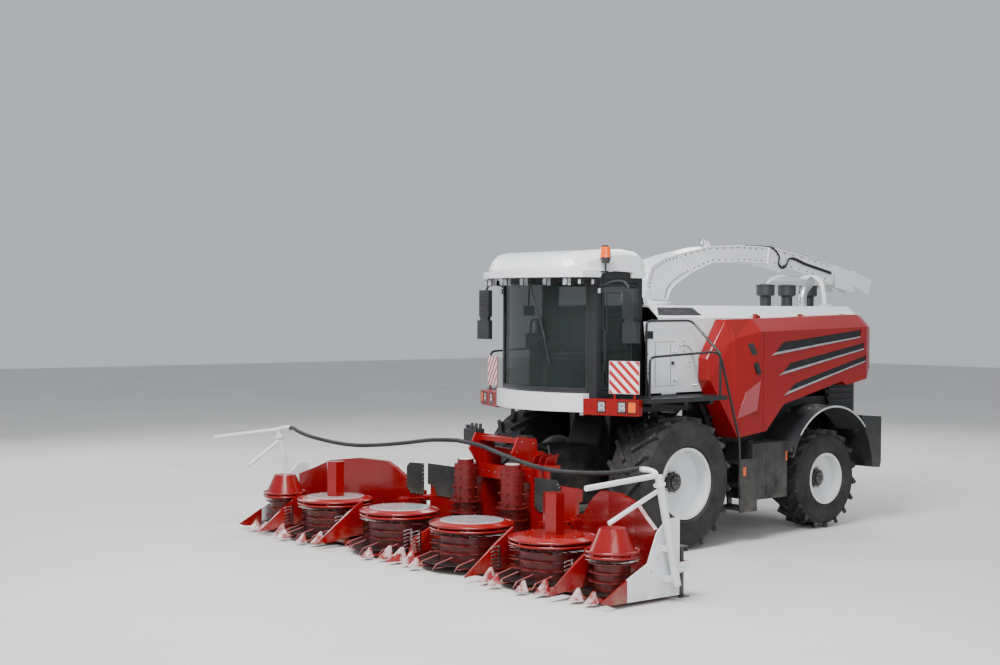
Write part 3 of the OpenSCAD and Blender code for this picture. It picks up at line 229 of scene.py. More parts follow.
def plastic(name, colour, roughness):
    look = Look(name).set(Metallic=0.0, IOR=1.46)
    tone = look.mix(look.patches(2.5, 4.0, 0.35, 0.75), colour, shade(colour, 1.5, 0.01))
    look.to("Base Color", dusted(look, tone, 0.4, 1.4))
    look.to("Roughness", look.wander(8.0, 4.0, roughness - 0.06, roughness + 0.12))
    look.bump(look.noise(400.0, 2.0), 0.12, 0.001)
    return look.material


def metal(name, colour, roughness, brushed=True):
    look = Look(name).set(Metallic=1.0)
    grain = None
    if brushed:
        grain = look.node("ShaderNodeMapping", {"Vector": look.place, "Scale": (4.0, 4.0, 160.0)}).outputs[0]
    lines = look.noise(6.0, 4.0, 0.6, grain)
    look.to("Base Color", look.mix(look.patches(9.0, 5.0, 0.45, 0.8), colour, shade(colour, 0.62)))
    look.to("Roughness", look.ramp(lines, 0.25, 0.75, roughness - 0.08, roughness + 0.14))
    look.bump(lines, 0.08, 0.0008)
    return look.material


def glass(name, tint, alpha):
    look = Look(name).set(Metallic=0.0, IOR=1.45, Roughness=0.03, Alpha=alpha)
    look.to("Base Color", look.mix(look.patches(0.9, 3.0), tint, shade(tint, 0.7)))
    look.bump(look.noise(1.4, 2.0), 0.04, 0.004)
    look.material.surface_render_method = "DITHERED"
    return look.material


def lens(name, colour, painted_glow=0.0):
    look = Look(name).set(Metallic=0.0, IOR=1.5, Coat_Weight=0.35, Coat_Roughness=0.03, Roughness=0.12)
    facets = look.cells(55.0)
    look.to("Base Color", look.mix(look.ramp(facets, 0.1, 0.6), colour, shade(colour, 0.55)))
    look.bump(facets, 0.35, 0.004)
    # A glow here is painted light: only the amber reflectors get one, and they are no lamps.
    if painted_glow:
        look.set(Emission_Color=colour, Emission_Strength=painted_glow)
    return look.material


def fabric(name, colour):
    look = Look(name).set(Metallic=0.0, Sheen_Weight=0.35, Roughness=0.85)
    threads = [
        look.node("ShaderNodeTexWave", {"Vector": look.place, "Scale": 90.0, "Distortion": 0.4},
                  bands_direction=way).outputs["Fac"]
        for way in "XZ"
    ]
    cloth = look.math("MULTIPLY", *threads)
    look.to("Base Color", look.mix(cloth, shade(colour, 0.6), shade(colour, 1.4)))
    look.bump(cloth, 0.4, 0.0015)
    return look.material


def grille(name, colour, cell):
    """Perforated sheet: rows of round near-black dots, painted shade for the dark seen through the
    perforations.
    """
    look = Look(name).set(Metallic=0.6)
    hole_shade = look.ramp(look.cells(1 / cell, 0.0), 0.30, 0.40)
    # The near-black dots are painted shade: nothing is cut through the sheet.
    look.to("Base Color", look.mix(hole_shade, (0.004, 0.004, 0.004), colour))
    look.to("Roughness", look.wander(14.0, 4.0, 0.35, 0.6))
    look.bump(hole_shade, 0.8, 0.003)
    return look.material


def stripes(name, side):
    """Red and white stripes of a warning board, falling outwards at 45 degrees."""
    look = Look(name).set(Metallic=0.0, IOR=1.5, Coat_Weight=0.15, Coat_Roughness=0.1)
    stripe_pair = 0.128
    along = look.math("MULTIPLY", look.axis("Y"), side / math.cos(BAR_SWEEP))
    band = look.math("FRACT", look.math("MULTIPLY", look.math("ADD", along, look.axis("Z")), 1 / stripe_pair))
    look.to("Base Color", look.mix(look.ramp(band, 0.495, 0.505), (0.42, 0.004, 0.010), (0.78, 0.76, 0.76)))
    look.to("Roughness", look.wander(20.0, 3.0, 0.25, 0.42))
    look.bump(look.cells(260.0), 0.15, 0.0008)
    return look.material


RED = paint("red_paint", (0.26, 0.0012, 0.0012), 0.26, 0.14, dust=0.04)
GLOSS_RED = paint("gloss_red", (0.30, 0.0020, 0.0018), 0.16, 0.35, dust=0.04)
DARK_RED = paint("dark_red", (0.17, 0.0022, 0.0030), 0.38, 0.12, 0.4, dust=0.05)
PALE_RED = paint("pale_red", (0.30, 0.055, 0.065), 0.3, 0.4)
PALE_PAINT = paint("pale_paint", (0.66, 0.52, 0.50), 0.3, 0.4, 0.25)
# Pale grey lid: a painted reflection of the sky on what is a glossy red lid, given to three of the four large
# rotors.
SKY_REFLECTION_LID = paint("rotor_lid", (0.60, 0.62, 0.66), 0.14, 0.9)
WHITE = paint("white_paint", (0.74, 0.76, 0.78), 0.28, 0.35, 0.05)
RIM_WHITE = paint("rim_paint", (0.72, 0.74, 0.76), 0.32, 0.3, 0.06, 1.2)
BLACK = paint("black_paint", (0.012, 0.013, 0.015), 0.34, 0.25, 0.3)
ARCH_GREY = paint("arch_paint", (0.42, 0.43, 0.44), 0.3, 0.4, 0.1)
GREY = paint("grey_paint", (0.055, 0.058, 0.062), 0.4, 0.2, 0.3)
PLASTIC = plastic("black_plastic", (0.014, 0.015, 0.017), 0.46)
RUBBER = rubber("black_rubber", (0.016, 0.016, 0.016))
HOSE = rubber("hose_rubber", (0.012, 0.012, 0.013), 0.5)
STEEL = metal("bare_steel", (0.50, 0.50, 0.51), 0.34)
PALE_STEEL = metal("pale_steel", (0.66, 0.60, 0.58), 0.3, brushed=False)
STEEL_DARK = metal("dark_steel", (0.10, 0.10, 0.105), 0.42)
CHROME = metal("rod_chrome", (0.72, 0.73, 0.75), 0.12, brushed=False)
SILVER = metal("silver_trim", (0.68, 0.69, 0.71), 0.26, brushed=False)
GLASS = glass("cab_glass", (0.028, 0.042, 0.038), 0.44)
CLEAR_LENS = lens("clear_lens", (0.78, 0.80, 0.82))
# Amber reflectors, with a faint painted glow though they are no lamps.
GLOWING_AMBER_LENS = lens("amber_lens_painted_glow", (0.80, 0.14, 0.004), 0.08)
RED_LENS = lens("red_lens", (0.55, 0.015, 0.02))
CLOTH = fabric("seat_fabric", (0.035, 0.037, 0.042))
MESH = grille("louvre_mesh", (0.035, 0.036, 0.038), 0.016)
DECK_MESH = grille("deck_mesh", (0.022, 0.023, 0.025), 0.038)
IRON = paint("engine_paint", (0.06, 0.06, 0.065), 0.5, 0.0, 0.35)

NODE_LOOKS = {
    RED: ("hood_fronts", "hood_left", "hood_right", "light_bars", "header_frame"),
    DARK_RED: ("feed_drum_left", "feed_drum_right"),
    WHITE: ("side_panels", "deck", "cab_roof", "apron", "service_door", "turntable", "spout", "spout_flap",
            "spout_tip", "end_frame_left", "end_frame_right"),
    RIM_WHITE: ("front_rim_left", "front_rim_right", "rear_rim_left", "rear_rim_right"),
    BLACK: ("chassis_frame", "walkways", "counterweight", "cab_frame", "cab_door", "feeder_house",
            "stand_left", "stand_right"),
    GREY: ("axles", "knuckle_left", "knuckle_right", "lift_barrels"),
    PLASTIC: ("controls", "air_intakes", "mirrors", "side_skirts", "rear_panel"),
    GLASS: ("cab_glass", "door_glass"),
    SILVER: ("exhaust",),
    CHROME: ("lift_rods",),
    CLOTH: ("seat",),
    IRON: ("engine",),
    HOSE: ("crop_hose",),
}


def dress(node, material):
    """Gives a CAD node its material."""
    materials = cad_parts[node].data.materials
    materials.clear()
    materials.append(material)


def smooth_by_angle(obj, degrees=32):
    """Smooth shading that keeps edges sharper than the angle."""
    mesh = obj.data
    mesh.polygons.foreach_set("use_smooth", [True] * len(mesh.polygons))
    mesh.set_sharp_from_angle(angle=math.radians(degrees))


def dress_nodes():
    rotors, wings = rotor_look(), wing_look()
    for name, _ in SIDES:
        dress(f"wing_{name}", wings)
        for k in ROTOR_Y:
            dress(f"rotor_{name}_{k}", rotors)
    dress("lamps", lamp_look())
    for material, nodes in NODE_LOOKS.items():
        for node in nodes:
            dress(node, material)
    for kind, wheel in (("front", FRONT_WHEEL), ("rear", REAR_WHEEL)):
        for name, _ in SIDES:
            dress(f"{kind}_tyre_{name}", tyre_rubber(f"{kind}_tyre_{name}_rubber", wheel))


# Mesh tools


def circle(centre, turn, r, sides, height=0.0):
    """Points round an axis that the turn brings up from z, at a height along it."""
    return [centre + turn @ Vector((r * math.cos(t), r * math.sin(t), height)) for t in angles(sides)]


def around(centre, r, angle, z):
    """A place at the angle round an upright axis."""
    return centre + Vector((r * math.cos(angle), r * math.sin(angle), z))


def across(angle):
    """The level direction at right angles to the one at the angle."""
    return Vector((-math.sin(angle), math.cos(angle), 0))


def slab(point, wide, low, high):
    """Section of a flat bar: wide to either side of the point, and from low to high above it."""
    bottom, top = Vector((0, 0, low)), Vector((0, 0, high))
    return [point - wide + bottom, point + wide + bottom, point + wide + top, point - wide + top]


def pairs_round(points):
    """Each point of a closed outline with the next one."""
    return zip(points, points[1:] + points[:1])


def smooth_route(places, steps):
    """The places with more between them on a smooth curve, steps to each stretch."""
    points = [at(*place) for place in places]
    last = len(points) - 1
    made = []
    for i in range(last):
        p0, p1, p2, p3 = (points[max(0, min(last, i + k))] for k in (-1, 0, 1, 2))
        for s in range(steps):
            t = s / steps
            made.append(0.5 * (2 * p1 + (p2 - p0) * t + (2 * p0 - 5 * p1 + 4 * p2 - p3) * t * t
                               + (3 * p1 - p0 - 3 * p2 + p3) * t ** 3))
    return made + [points[-1]]


def new_object(name, mesh):
    obj = bpy.data.objects.new(name, mesh)
    bpy.context.scene.collection.objects.link(obj)
    return obj


class Piece:
    """Faces gathered from simple forms, made into one object at the end."""

    def __init__(self):
        self.points = []
        self.faces = []

    def add(self, points, faces):
        start = len(self.points)
        self.points += [Vector(p) for p in points]
        self.faces += [[start + i for i in face] for face in faces]
        return self

    def box(self, low, high):
        (x0, y0, z0), (x1, y1, z1) = low, high
        corners = [(x, y, z) for x in (x0, x1) for y in (y0, y1) for z in (z0, z1)]
        faces = [(0, 1, 3, 2), (4, 6, 7, 5), (0, 4, 5, 1), (2, 3, 7, 6), (0, 2, 6, 4), (1, 5, 7, 3)]
        return self.add(corners, faces)

    def block(self, a, b, side=1):
        """A box between two places of the left side, mirrored for the right one."""
        (xa, ya, za), (xb, yb, zb) = a, b
        a, b = at(xa, side * ya, za), at(xb, side * yb, zb)
        return self.box(Vector(map(min, a, b)), Vector(map(max, a, b)))

    def loft(self, rings):
        """A skin over the rings in turn, closed at both ends."""
        count = len(rings[0])
        faces = []
        for i in range(len(rings) - 1):
            for j in range(count):
                k = (j + 1) % count
                faces.append((i * count + j, i * count + k, (i + 1) * count + k, (i + 1) * count + j))
        faces.append(tuple(reversed(range(count))))
        faces.append(tuple((len(rings) - 1) * count + j for j in range(count)))
        return self.add([p for ring in rings for p in ring], faces)

    def rod(self, a, b, r, sides=12, r2=None):
        """A bar from a to b, of radius r, or tapering to r2."""
        a, b = Vector(a), Vector(b)
        turn = (b - a).to_track_quat("Z", "Y")
        return self.loft([circle(a, turn, r, sides), circle(b, turn, r if r2 is None else r2, sides)])

    def tube(self, route, r, sides=8):
        """A bent tube that follows the route's points."""
        last = len(route) - 1
        tangents = [(route[min(i + 1, last)] - route[max(i - 1, 0)]).normalized() for i in range(last + 1)]
        side = tangents[0].orthogonal().normalized()
        rings = []
        for point, tangent in zip(route, tangents):
            side = (side - side.dot(tangent) * tangent).normalized()
            other = tangent.cross(side)
            rings.append([point + r * (math.cos(t) * side + math.sin(t) * other) for t in angles(sides)])
        return self.loft(rings)

    def hose(self, places, r, steps):
        """A tube on a smooth curve through the places."""
        return self.tube(smooth_route(places, steps), r, 10)

    def turned(self, centre, axis, profile, sides=32):
        """A ring-shaped body: profile holds (distance along the axis, radius) pairs."""
        centre, turn = Vector(centre), Vector(axis).to_track_quat("Z", "Y")
        return self.loft([circle(centre, turn, r, sides, height) for height, r in profile])

    def bolts(self, places, axis, r, height):
        """Hexagon bolt heads at the places, standing out along the axis."""
        axis = Vector(axis).normalized()
        for place in places:
            self.rod(place, place + axis * height, r, 6)
        return self

    def mesh(self, name, material):
        mesh = bpy.data.meshes.new(name)
        mesh.from_pydata([tuple(p) for p in self.points], [], self.faces)
        mesh.materials.append(material)
        return mesh

    def make(self, name, material, body="chassis", bevel=0.0, smooth=True, slot=None):
        """Makes the object on its body. The slot argument is not used."""
        mesh = self.mesh(name, material)
        build = bmesh.new()
        build.from_mesh(mesh)
        bmesh.ops.recalc_face_normals(build, faces=build.faces)
        build.to_mesh(mesh)
        build.free()
        obj = new_object(name, mesh)
        if smooth:
            smooth_by_angle(obj)
        if bevel:
            edge = obj.modifiers.new("edges", "BEVEL")
            edge.width = bevel
            edge.segments = 2
            edge.limit_method = "ANGLE"
        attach(obj, body)


# Stage

# Name, place, size and power
LIGHTS = (
    ("key", (9, 4, 13), 6, 3300),
    ("fill", (12, 17, 9), 10, 1500),
    ("rim", (-14, -8, 12), 9, 1500),
    ("right", (4, -16, 9), 9, 1200),
)
LIT_POINT = Vector((0, 0, 1.5))


def make_stage():
    look = Look("floor").set(Metallic=0.0)
    look.to("Base Color", look.mix(look.patches(0.4, 4.0), (0.60, 0.59, 0.57), (0.66, 0.65, 0.63)))
    look.to("Roughness", look.wander(3.0, 4.0, 0.75, 0.9))
    floor = Piece().box((-60, -60, -0.02), (60, 60, 0.0))
    new_object("floor", floor.mesh("floor", look.material))
    world = bpy.data.worlds.new("studio")
    bpy.context.scene.world = world
    world.use_nodes = True
    sky = world.node_tree.nodes["Background"].inputs
    sky["Color"].default_value = (0.86, 0.90, 0.96, 1)
    sky["Strength"].default_value = 0.62
    for name, place, size, power in LIGHTS:
        data = bpy.data.lights.new(name, "AREA")
        data.size = size
        data.energy = power
        light = new_object(name, data)
        light.location = place
        light.rotation_euler = (LIT_POINT - Vector(place)).to_track_quat("-Z", "Y").to_euler()


# Hose over the header, as a cord on each side

HOSE_R = 0.0275
HOSE_END = (2.870, 3.5597, 1.446)
HOSE_ROUTE = (
    HOSE_END, (2.870, 3.500, 1.446), (2.880, 3.300, 1.400), (2.880, 3.000, 1.355), (2.860, 2.500, 1.315),
    (2.830, 2.000, 1.305), (2.770, 1.500, 1.340), (2.700, 1.000, 1.400), (2.640, 0.500, 1.470),
    (2.620, 0.0, 1.500),
)


def make_hose():
    for name, side in SIDES:
        route = smooth_route([(x, side * y, z) for x, y, z in HOSE_ROUTE], 6)
        mesh = Piece().tube(route, HOSE_R, 12).mesh(f"crop_hose_{name}", HOSE)
        obj = new_object(mesh.name, mesh)
        smooth_by_angle(obj, 50)
        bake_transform(obj)
        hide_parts("crop_hose")


# Wheels

# Distance from the hub's face and radius
HUB_PROFILE = (
    (0.001, 0.1355), (0.012, 0.1355), (0.014, 0.1225), (0.071, 0.1215), (0.073, 0.118), (0.0735, 0.092),
    (0.096, 0.0915), (0.100, 0.085), (0.1005, 0.0),
)


def make_hubs():
    """Black hub covers and their nuts and bolts."""
    for kind, wheel, disc in (("front", FRONT_WHEEL, 0.040), ("rear", REAR_WHEEL, 0.020)):
        for name, side in SIDES:
            x, y, z = wheel
            body = f"wheel_{kind}_{name}"
            axis = (0, side, 0)

            def nut_places(out, count, r):
                return [at(x + r * math.cos(t), side * (y + disc + out), z + r * math.sin(t))
                        for t in angles(count)]

            cover = Piece().turned(at(x, side * (y + disc), z), axis, HUB_PROFILE, 40)
            cover.make(f"hub_cover_{kind}_{name}", BLACK, body)
            nuts = Piece().bolts(nut_places(0.021, 10, 0.148), axis, 0.016, 0.016)
            nuts.bolts(nut_places(0.096, 6, 0.062), axis, 0.008, 0.008)
            nuts.make(f"wheel_nuts_{kind}_{name}", STEEL, body)


# Boards and lamps


def on_bar(side, x, y, z):
    """A place in the swept light bar's own frame: x forward out of its face and y outwards along it."""
    c, s = math.cos(BAR_SWEEP), math.sin(BAR_SWEEP)
    return at(BAR_X + x * c - y * s, side * (BAR_Y + x * s + y * c), z)


def bar_box(piece, side, low, high):
    (x0, y0, z0), (x1, y1, z1) = low, high
    section = ((y0, z0), (y1, z0), (y1, z1), (y0, z1))
    return piece.loft([[on_bar(side, x, y, z) for y, z in section] for x in (x0, x1)])


def window(y0, y1, z0, z1, wide, high):
    """The four bars of a frame, as (y0, y1, z0, z1): the two upright ones, the lower and the upper one."""
    inset = 0.001
    return (
        (y0, y0 + wide, z0 + inset, z1 - inset),
        (y1 - wide, y1, z0 + inset, z1 - inset),
        (y0, y1, z0, z0 + high),
        (y0, y1, z1 - high, z1),
    )


def make_boards():
    for name, side in SIDES:
        board = bar_box(Piece(), side, (-0.0998, 0.328, 2.104), (-0.0975, 0.743, 2.519))
        striped = stripes(f"board_stripes_{name}", side)
        board.make(f"warning_board_{name}", striped, bevel=0.001, slot="red_paint")
        edge = Piece()
        for y, z in ((0.3235, 2.1), (0.744, 2.1)):
            bar_box(edge, side, (-0.1005, y, z), (-0.0965, y + 0.0035, z + 0.423))
        for z in (2.0995, 2.5195):
            bar_box(edge, side, (-0.1005, 0.3235, z), (-0.0965, 0.7475, z + 0.0035))
        edge.make(f"board_edge_{name}", WHITE)
        bolts = Piece()
        for y, z in ((0.36, 1.845), (0.48, 1.845), (0.59, 1.845), (0.12, 1.93), (0.03, 1.93)):
            bolts.rod(on_bar(side, -0.001, y, z), on_bar(side, 0.006, y, z), 0.010, 6)
        bolts.make(f"bar_bolts_{name}", DARK_RED, smooth=False)


HEADLAMPS_Y = (0.262, 0.547)
HEADLAMP_FRAME = window(-0.055, 0.055, 1.861, 2.005, 0.011, 0.012)
TURN_LAMP_FRAME = window(0.627, 0.751, 1.856, 2.011, 0.010, 0.010)
ROOF_LAMP_FRAME = window(-0.047, 0.047, 3.502, 3.608, 0.009, 0.010)
# Distance from the lamp's face and radius
BOWL_PROFILE = ((0.0055, 0.027), (0.0125, 0.027), (0.0125, 0.023), (0.0085, 0.012), (0.0085, 0.002))
ROOF_GLASS_PROFILE = ((0.0, 0.034), (0.004, 0.034), (0.006, 0.026), (0.002, 0.004))


def make_headlamps(name, side):
    """Frames and bowls of the two headlamps in a light bar, and the frame of its turn lamp."""
    rims, bowls = Piece(), Piece()
    for y in HEADLAMPS_Y:
        for y0, y1, z0, z1 in HEADLAMP_FRAME:
            bar_box(rims, side, (0.004, y + y0, z0), (0.011, y + y1, z1))
        for z in (1.903, 1.963):
            bowls.loft([
                [on_bar(side, out, y + r * math.cos(t), z + r * math.sin(t)) for t in angles(24)]
                for out, r in BOWL_PROFILE
            ])
    for y0, y1, z0, z1 in TURN_LAMP_FRAME:
        bar_box(rims, side, (0.006, y0, z0), (0.012, y1, z1))
    rims.make(f"headlamp_rims_{name}", PLASTIC)
    bowls.make(f"headlamp_bowls_{name}", CHROME)


def roof_lamp_frame(piece, x, y):
    for y0, y1, z0, z1 in ROOF_LAMP_FRAME:
        piece.box(at(x - 0.006, y + y0, z0), at(x + 0.004, y + y1, z1))


def make_roof_lamps(name, side):
    """Frames and glasses of the lamps in the roof's front, and small lamps that hang below its edge."""
    frames, glasses = Piece(), Piece()
    for y in (0.40, 0.76):
        x = 1.5 - y / 12
        roof_lamp_frame(frames, x, side * y)
        glasses.turned(at(x - 0.001, side * y, 3.555), FORWARD, ROOF_GLASS_PROFILE, 20)
    for x, y, z in ((1.33, 0.925, 3.515), (1.13, 0.965, 3.515), (1.02, 0.972, 3.40)):
        frames.block((x - 0.035, y - 0.010, z), (x + 0.020, y + 0.045, z + 0.072), side)
        foot = at(x - 0.01, side * (y + 0.01), z + 0.06)
        frames.rod(foot, at(x - 0.01, side * (y + 0.01), min(z + 0.16, 3.612)), 0.008, 8)
        glasses.block((x + 0.0195, y - 0.005, z + 0.006), (x + 0.023, y + 0.040, z + 0.066), side)
    frames.make(f"roof_lamp_frames_{name}", PLASTIC)
    glasses.make(f"roof_lamp_glass_{name}", CLEAR_LENS)


def make_lamp_rims():
    for name, side in SIDES:
        make_headlamps(name, side)
        make_roof_lamps(name, side)
    middle = Piece()
    roof_lamp_frame(middle, 1.520, 0.0)
    middle.make("roof_lamp_frame_middle", PLASTIC)


def lamp_look():
    """Clear lenses, amber turn lamps and beacon on black, and red lenses at the rear."""
    look = Look("lamp_lenses").set(Metallic=0.0, Coat_Weight=0.3, Coat_Roughness=0.04)
    x, z, y = look.axis("X"), look.axis("Z"), look.math("ABSOLUTE", look.axis("Y"))
    facets = look.cells(50.0)
    amber = (0.78, 0.11, 0.002)
    clear = look.mix(look.ramp(facets, 0.1, 0.6), (0.72, 0.74, 0.77), (0.30, 0.31, 0.33))
    turn_lamps = look.math("MULTIPLY", look.ramp(y, 1.433, 1.435), look.ramp(z, 2.09, 2.10, 1.0, 0.0))
    tone = look.mix(turn_lamps, clear, amber)
    tone = look.mix(look.ramp(x, -3.2, -3.1, 1.0, 0.0), tone, (0.50, 0.012, 0.015))
    tone = look.mix(look.ramp(z, 3.640, 3.645), tone, (0.015, 0.015, 0.016))
    beacon = look.math("MULTIPLY", look.ramp(z, 3.866, 3.868), look.ramp(z, 4.004, 4.007, 1.0, 0.0))
    look.to("Base Color", look.mix(beacon, tone, amber))
    look.to("Roughness", look.wander(8.0, 3.0, 0.10, 0.22))
    look.bump(facets, 0.3, 0.003)
    return look.material


# Rotors

LARGE = {"x": 2.97, "ring": 0.53, "drum": 0.40, "disc": 0.46, "blade": 0.65, "hooks": 24, "tine_step": 0.024}
SMALL = {"x": 3.10, "ring": 0.31, "drum": 0.20, "disc": 0.26, "hooks": 16, "tine_step": 0.010}
ROTOR_Y = {1: 0.75, 2: 2.25, 3: 3.35}
TINE_LEVELS = (0.227, 0.327, 0.427)
# Height and radius
COVER_PROFILE = (
    (0.536, 0.490), (0.543, 0.501), (0.556, 0.500), (0.562, 0.488), (0.584, 0.435), (0.589, 0.424),
    (0.591, 0.415),
)
LID_PROFILE = ((0.590, 0.398), (0.5935, 0.397), (0.5945, 0.392), (0.5945, 0.300))


def make_rotor_cover(tag, centre, lid_look):
    """Red cover on a large rotor's ring, with a lid and its bolts."""
    body = f"rotor_{tag}_spin"
    Piece().turned(centre, UP, COVER_PROFILE, 64).make(f"rotor_cover_{tag}", GLOSS_RED, body)
    # The lid is red on one rotor; on the other three it is the pale grey painted sky reflection.
    Piece().turned(centre, UP, LID_PROFILE, 48).make(f"rotor_lid_{tag}", lid_look, body)
    bolts = Piece().bolts([around(centre, 0.36, t, 0.5935) for t in angles(8)], UP, 0.010, 0.009)
    bolts.make(f"rotor_lid_bolts_{tag}", STEEL, body)


def make_rotor_hooks(tag, centre, size, side):
    """Flat pointed hooks below the ring, set askew."""
    hooks = Piece()
    lead = side * 0.55 * math.pi / size["hooks"]
    for angle in angles(size["hooks"]):
        root = around(centre, size["drum"] - 0.004, angle, 0.440)
        tip = around(centre, size["ring"] - 0.012, angle + lead, 0.452)
        wide = across(angle) * 0.034
        hooks.loft([slab(root, wide, 0.0, 0.010), slab(tip, wide * 0.06, 0.0, 0.004)])
    hooks.make(f"rotor_hooks_{tag}", PALE_STEEL, f"rotor_{tag}_spin", smooth=False)


def make_rotor_tines(tag, centre, size, side):
    """Tines on the three discs, a little curved, which taper in four stretches."""
    tines = Piece()
    for z in TINE_LEVELS:
        for angle in angles(12, 0.5):
            sections = []
            for s in range(5):
                r = size["disc"] - 0.03 + size["tine_step"] * s
                half = 0.011 - 0.0015 * s
                point = around(centre, r, angle - side * 0.012 * s * s, z)
                sections.append(slab(point, across(angle) * (0.016 - 0.003 * s), -half, half))
            for stretch in zip(sections, sections[1:]):
                tines.loft(stretch)
    tines.make(f"rotor_tines_{tag}", DARK_RED, f"rotor_{tag}_spin", smooth=False)


def make_rotors():
    for name, side in SIDES:
        for k, y in ROTOR_Y.items():
            size = SMALL if k == 3 else LARGE
            tag = f"{name}_{k}"
            centre = at(size["x"], side * y, 0)
            if size is LARGE:
                # Three lids get the pale grey painted sky reflection; the second one on the left stays red.
                make_rotor_cover(tag, centre, SKY_REFLECTION_LID if k == 1 or side < 0 else GLOSS_RED)
            make_rotor_hooks(tag, centre, size, side)
            make_rotor_tines(tag, centre, size, side)


def rotor_look():
    """Red paint, darker and patchy on the drum below the top, with a bare saw blade at the bottom."""
    look = Look("rotor_paint").set(Metallic=0.0, Coat_Weight=0.14, Coat_Roughness=0.08)
    z = look.axis("Z")
    blade = look.ramp(z, 0.1185, 0.1195, 1.0, 0.0)
    upper = look.ramp(z, 0.478, 0.486)
    patch_mask = look.patches(11.0, 6.0, 0.46, 0.62, 0.7)
    drum = look.mix(patch_mask, (0.090, 0.0018, 0.0026), (0.17, 0.0030, 0.0034))
    painted = look.mix(upper, drum, (0.22, 0.0024, 0.0024))
    look.to("Base Color", look.mix(blade, painted, (0.035, 0.030, 0.026)))
    look.to("Metallic", look.math("MULTIPLY", blade, 0.7))
    look.to("Roughness", look.mix(upper, look.wander(18.0, 4.0, 0.32, 0.6), (0.2, 0.2, 0.2)))
    look.bump(look.math("ADD", patch_mask, look.noise(90.0, 2.0)), 0.2, 0.002)
    return look.material


# Header

# Guards: tip x, y, rear x and height of the crest behind the tip, in front of the saw blades
MIDDLE_GUARDS = (
    (3.69, -0.2415, 3.485, 0.20), (3.69, 0.2415, 3.485, 0.20), (3.77, -0.4935, 3.615, 0.16),
    (3.77, 0.4935, 3.615, 0.16), (3.74, 0.0, 3.46, 0.21),
)
WING_GUARDS = (
    (3.70, 1.78, 3.51, 0.20), (3.70, 2.73, 3.51, 0.20), (3.78, 2.02, 3.625, 0.16), (3.78, 2.49, 3.625, 0.16),
    (3.64, 3.23, 3.485, 0.17), (3.64, 3.47, 3.485, 0.17),
)
CAP_FOOT_Z = 0.043
# Share of the way back, half width of the foot and of the crest, and share of the height
CAP_SECTIONS = (
    (0.0, 0.005, 0.003, 0.06), (0.45, 0.044, 0.008, 0.48), (0.86, 0.074, 0.012, 0.96),
    (1.0, 0.072, 0.014, 1.0),
)


def guard_cap(piece, x, y, rear, height):
    """Steep pressed cap over a guard: a pointed foot that rises to a crest."""
    rings = []
    for share, half, crest, rise in CAP_SECTIONS:
        px, top = x + (rear - x) * share, CAP_FOOT_Z + (height - CAP_FOOT_Z) * rise
        rings.append([at(px, y - half, CAP_FOOT_Z), at(px, y + half, CAP_FOOT_Z), at(px, y + crest, top),
                      at(px, y - crest, top)])
    piece.loft(rings)


def painted_highlight_guard_look():
    """Red paint with pale pinkish patches in streaks: partly steel rubbed bare, partly painted highlight of
    the lit faces.
    """
    look = Look("guard_paint_and_painted_highlight").set(Metallic=0.0, Coat_Weight=0.2, Coat_Roughness=0.1)
    patch_mask = look.patches(9.0, 5.0, 0.44, 0.56, 0.6)
    # The pale pinkish colour is partly bare steel and partly painted highlight.
    look.to("Base Color", look.mix(patch_mask, (0.24, 0.010, 0.011), (0.50, 0.37, 0.36)))
    look.to("Roughness", look.wander(20.0, 4.0, 0.28, 0.46))
    look.bump(patch_mask, 0.15, 0.001)
    return look.material


def make_guards():
    look = painted_highlight_guard_look()
    for body, side, guards in (
        ("header", 1, MIDDLE_GUARDS), ("wing_arm_left", 1, WING_GUARDS), ("wing_arm_right", -1, WING_GUARDS),
    ):
        caps = Piece()
        for x, y, rear, height in guards:
            guard_cap(caps, x, side * y, rear, height)
        caps.make(f"guard_caps_{body}", look, body, bevel=0.002, smooth=False, slot="white_paint")


def make_stalk_lifters():
    """Bars that start below the saw blades, turn up in front of them and run back over them."""
    inner, outer = (0.36, 0.62, 0.90, 1.16), (1.90, 2.13, 2.38, 2.60)
    for body, rotor, places, sides in (
        ("header", 1, inner, (1, -1)), ("wing_arm_left", 2, outer, (1,)), ("wing_arm_right", 2, outer, (-1,)),
    ):
        piece = Piece()
        for side in sides:
            for y in places:
                reach = math.sqrt(LARGE["blade"] ** 2 - (y - ROTOR_Y[rotor]) ** 2)
                front = LARGE["x"] + reach + 0.075
                y = side * y
                piece.block((3.27, y - 0.008, 0.078), (front - 0.035, y + 0.008, 0.088))
                piece.rod(at(front + 0.02, y, 0.066), at(front - 0.042, y, 0.130), 0.004, 8, 0.009)
                piece.rod(at(front - 0.040, y, 0.129), at(front - 0.28, y, 0.182), 0.009, 8)
        # The bars are dark red; their pale red colour is painted highlight.
        piece.make(f"stalk_lifters_{body}", PALE_RED, body)


def comb(piece, x, y):
    """Stack of six stripper fingers beside a divider."""
    piece.block((x - 0.045, y - 0.006, 0.14), (x - 0.02, y + 0.006, 0.41))
    for i in range(6):
        z = 0.165 + 0.045 * i
        piece.tube([at(x - 0.03 + 0.12 * s / 4, y, z + 0.008 * math.sin(0.9 * s)) for s in range(5)], 0.0085)


def make_combs():
    for name, body, places in (
        ("middle", "header", (0.085, -0.085)),
        ("left", "wing_arm_left", (1.635, 2.895)),
        ("right", "wing_arm_right", (-1.635, -2.895)),
    ):
        fingers = Piece()
        for y in places:
            comb(fingers, 3.30, y)
        fingers.make(f"stripper_fingers_{name}", SILVER, body, slot="grey_paint")


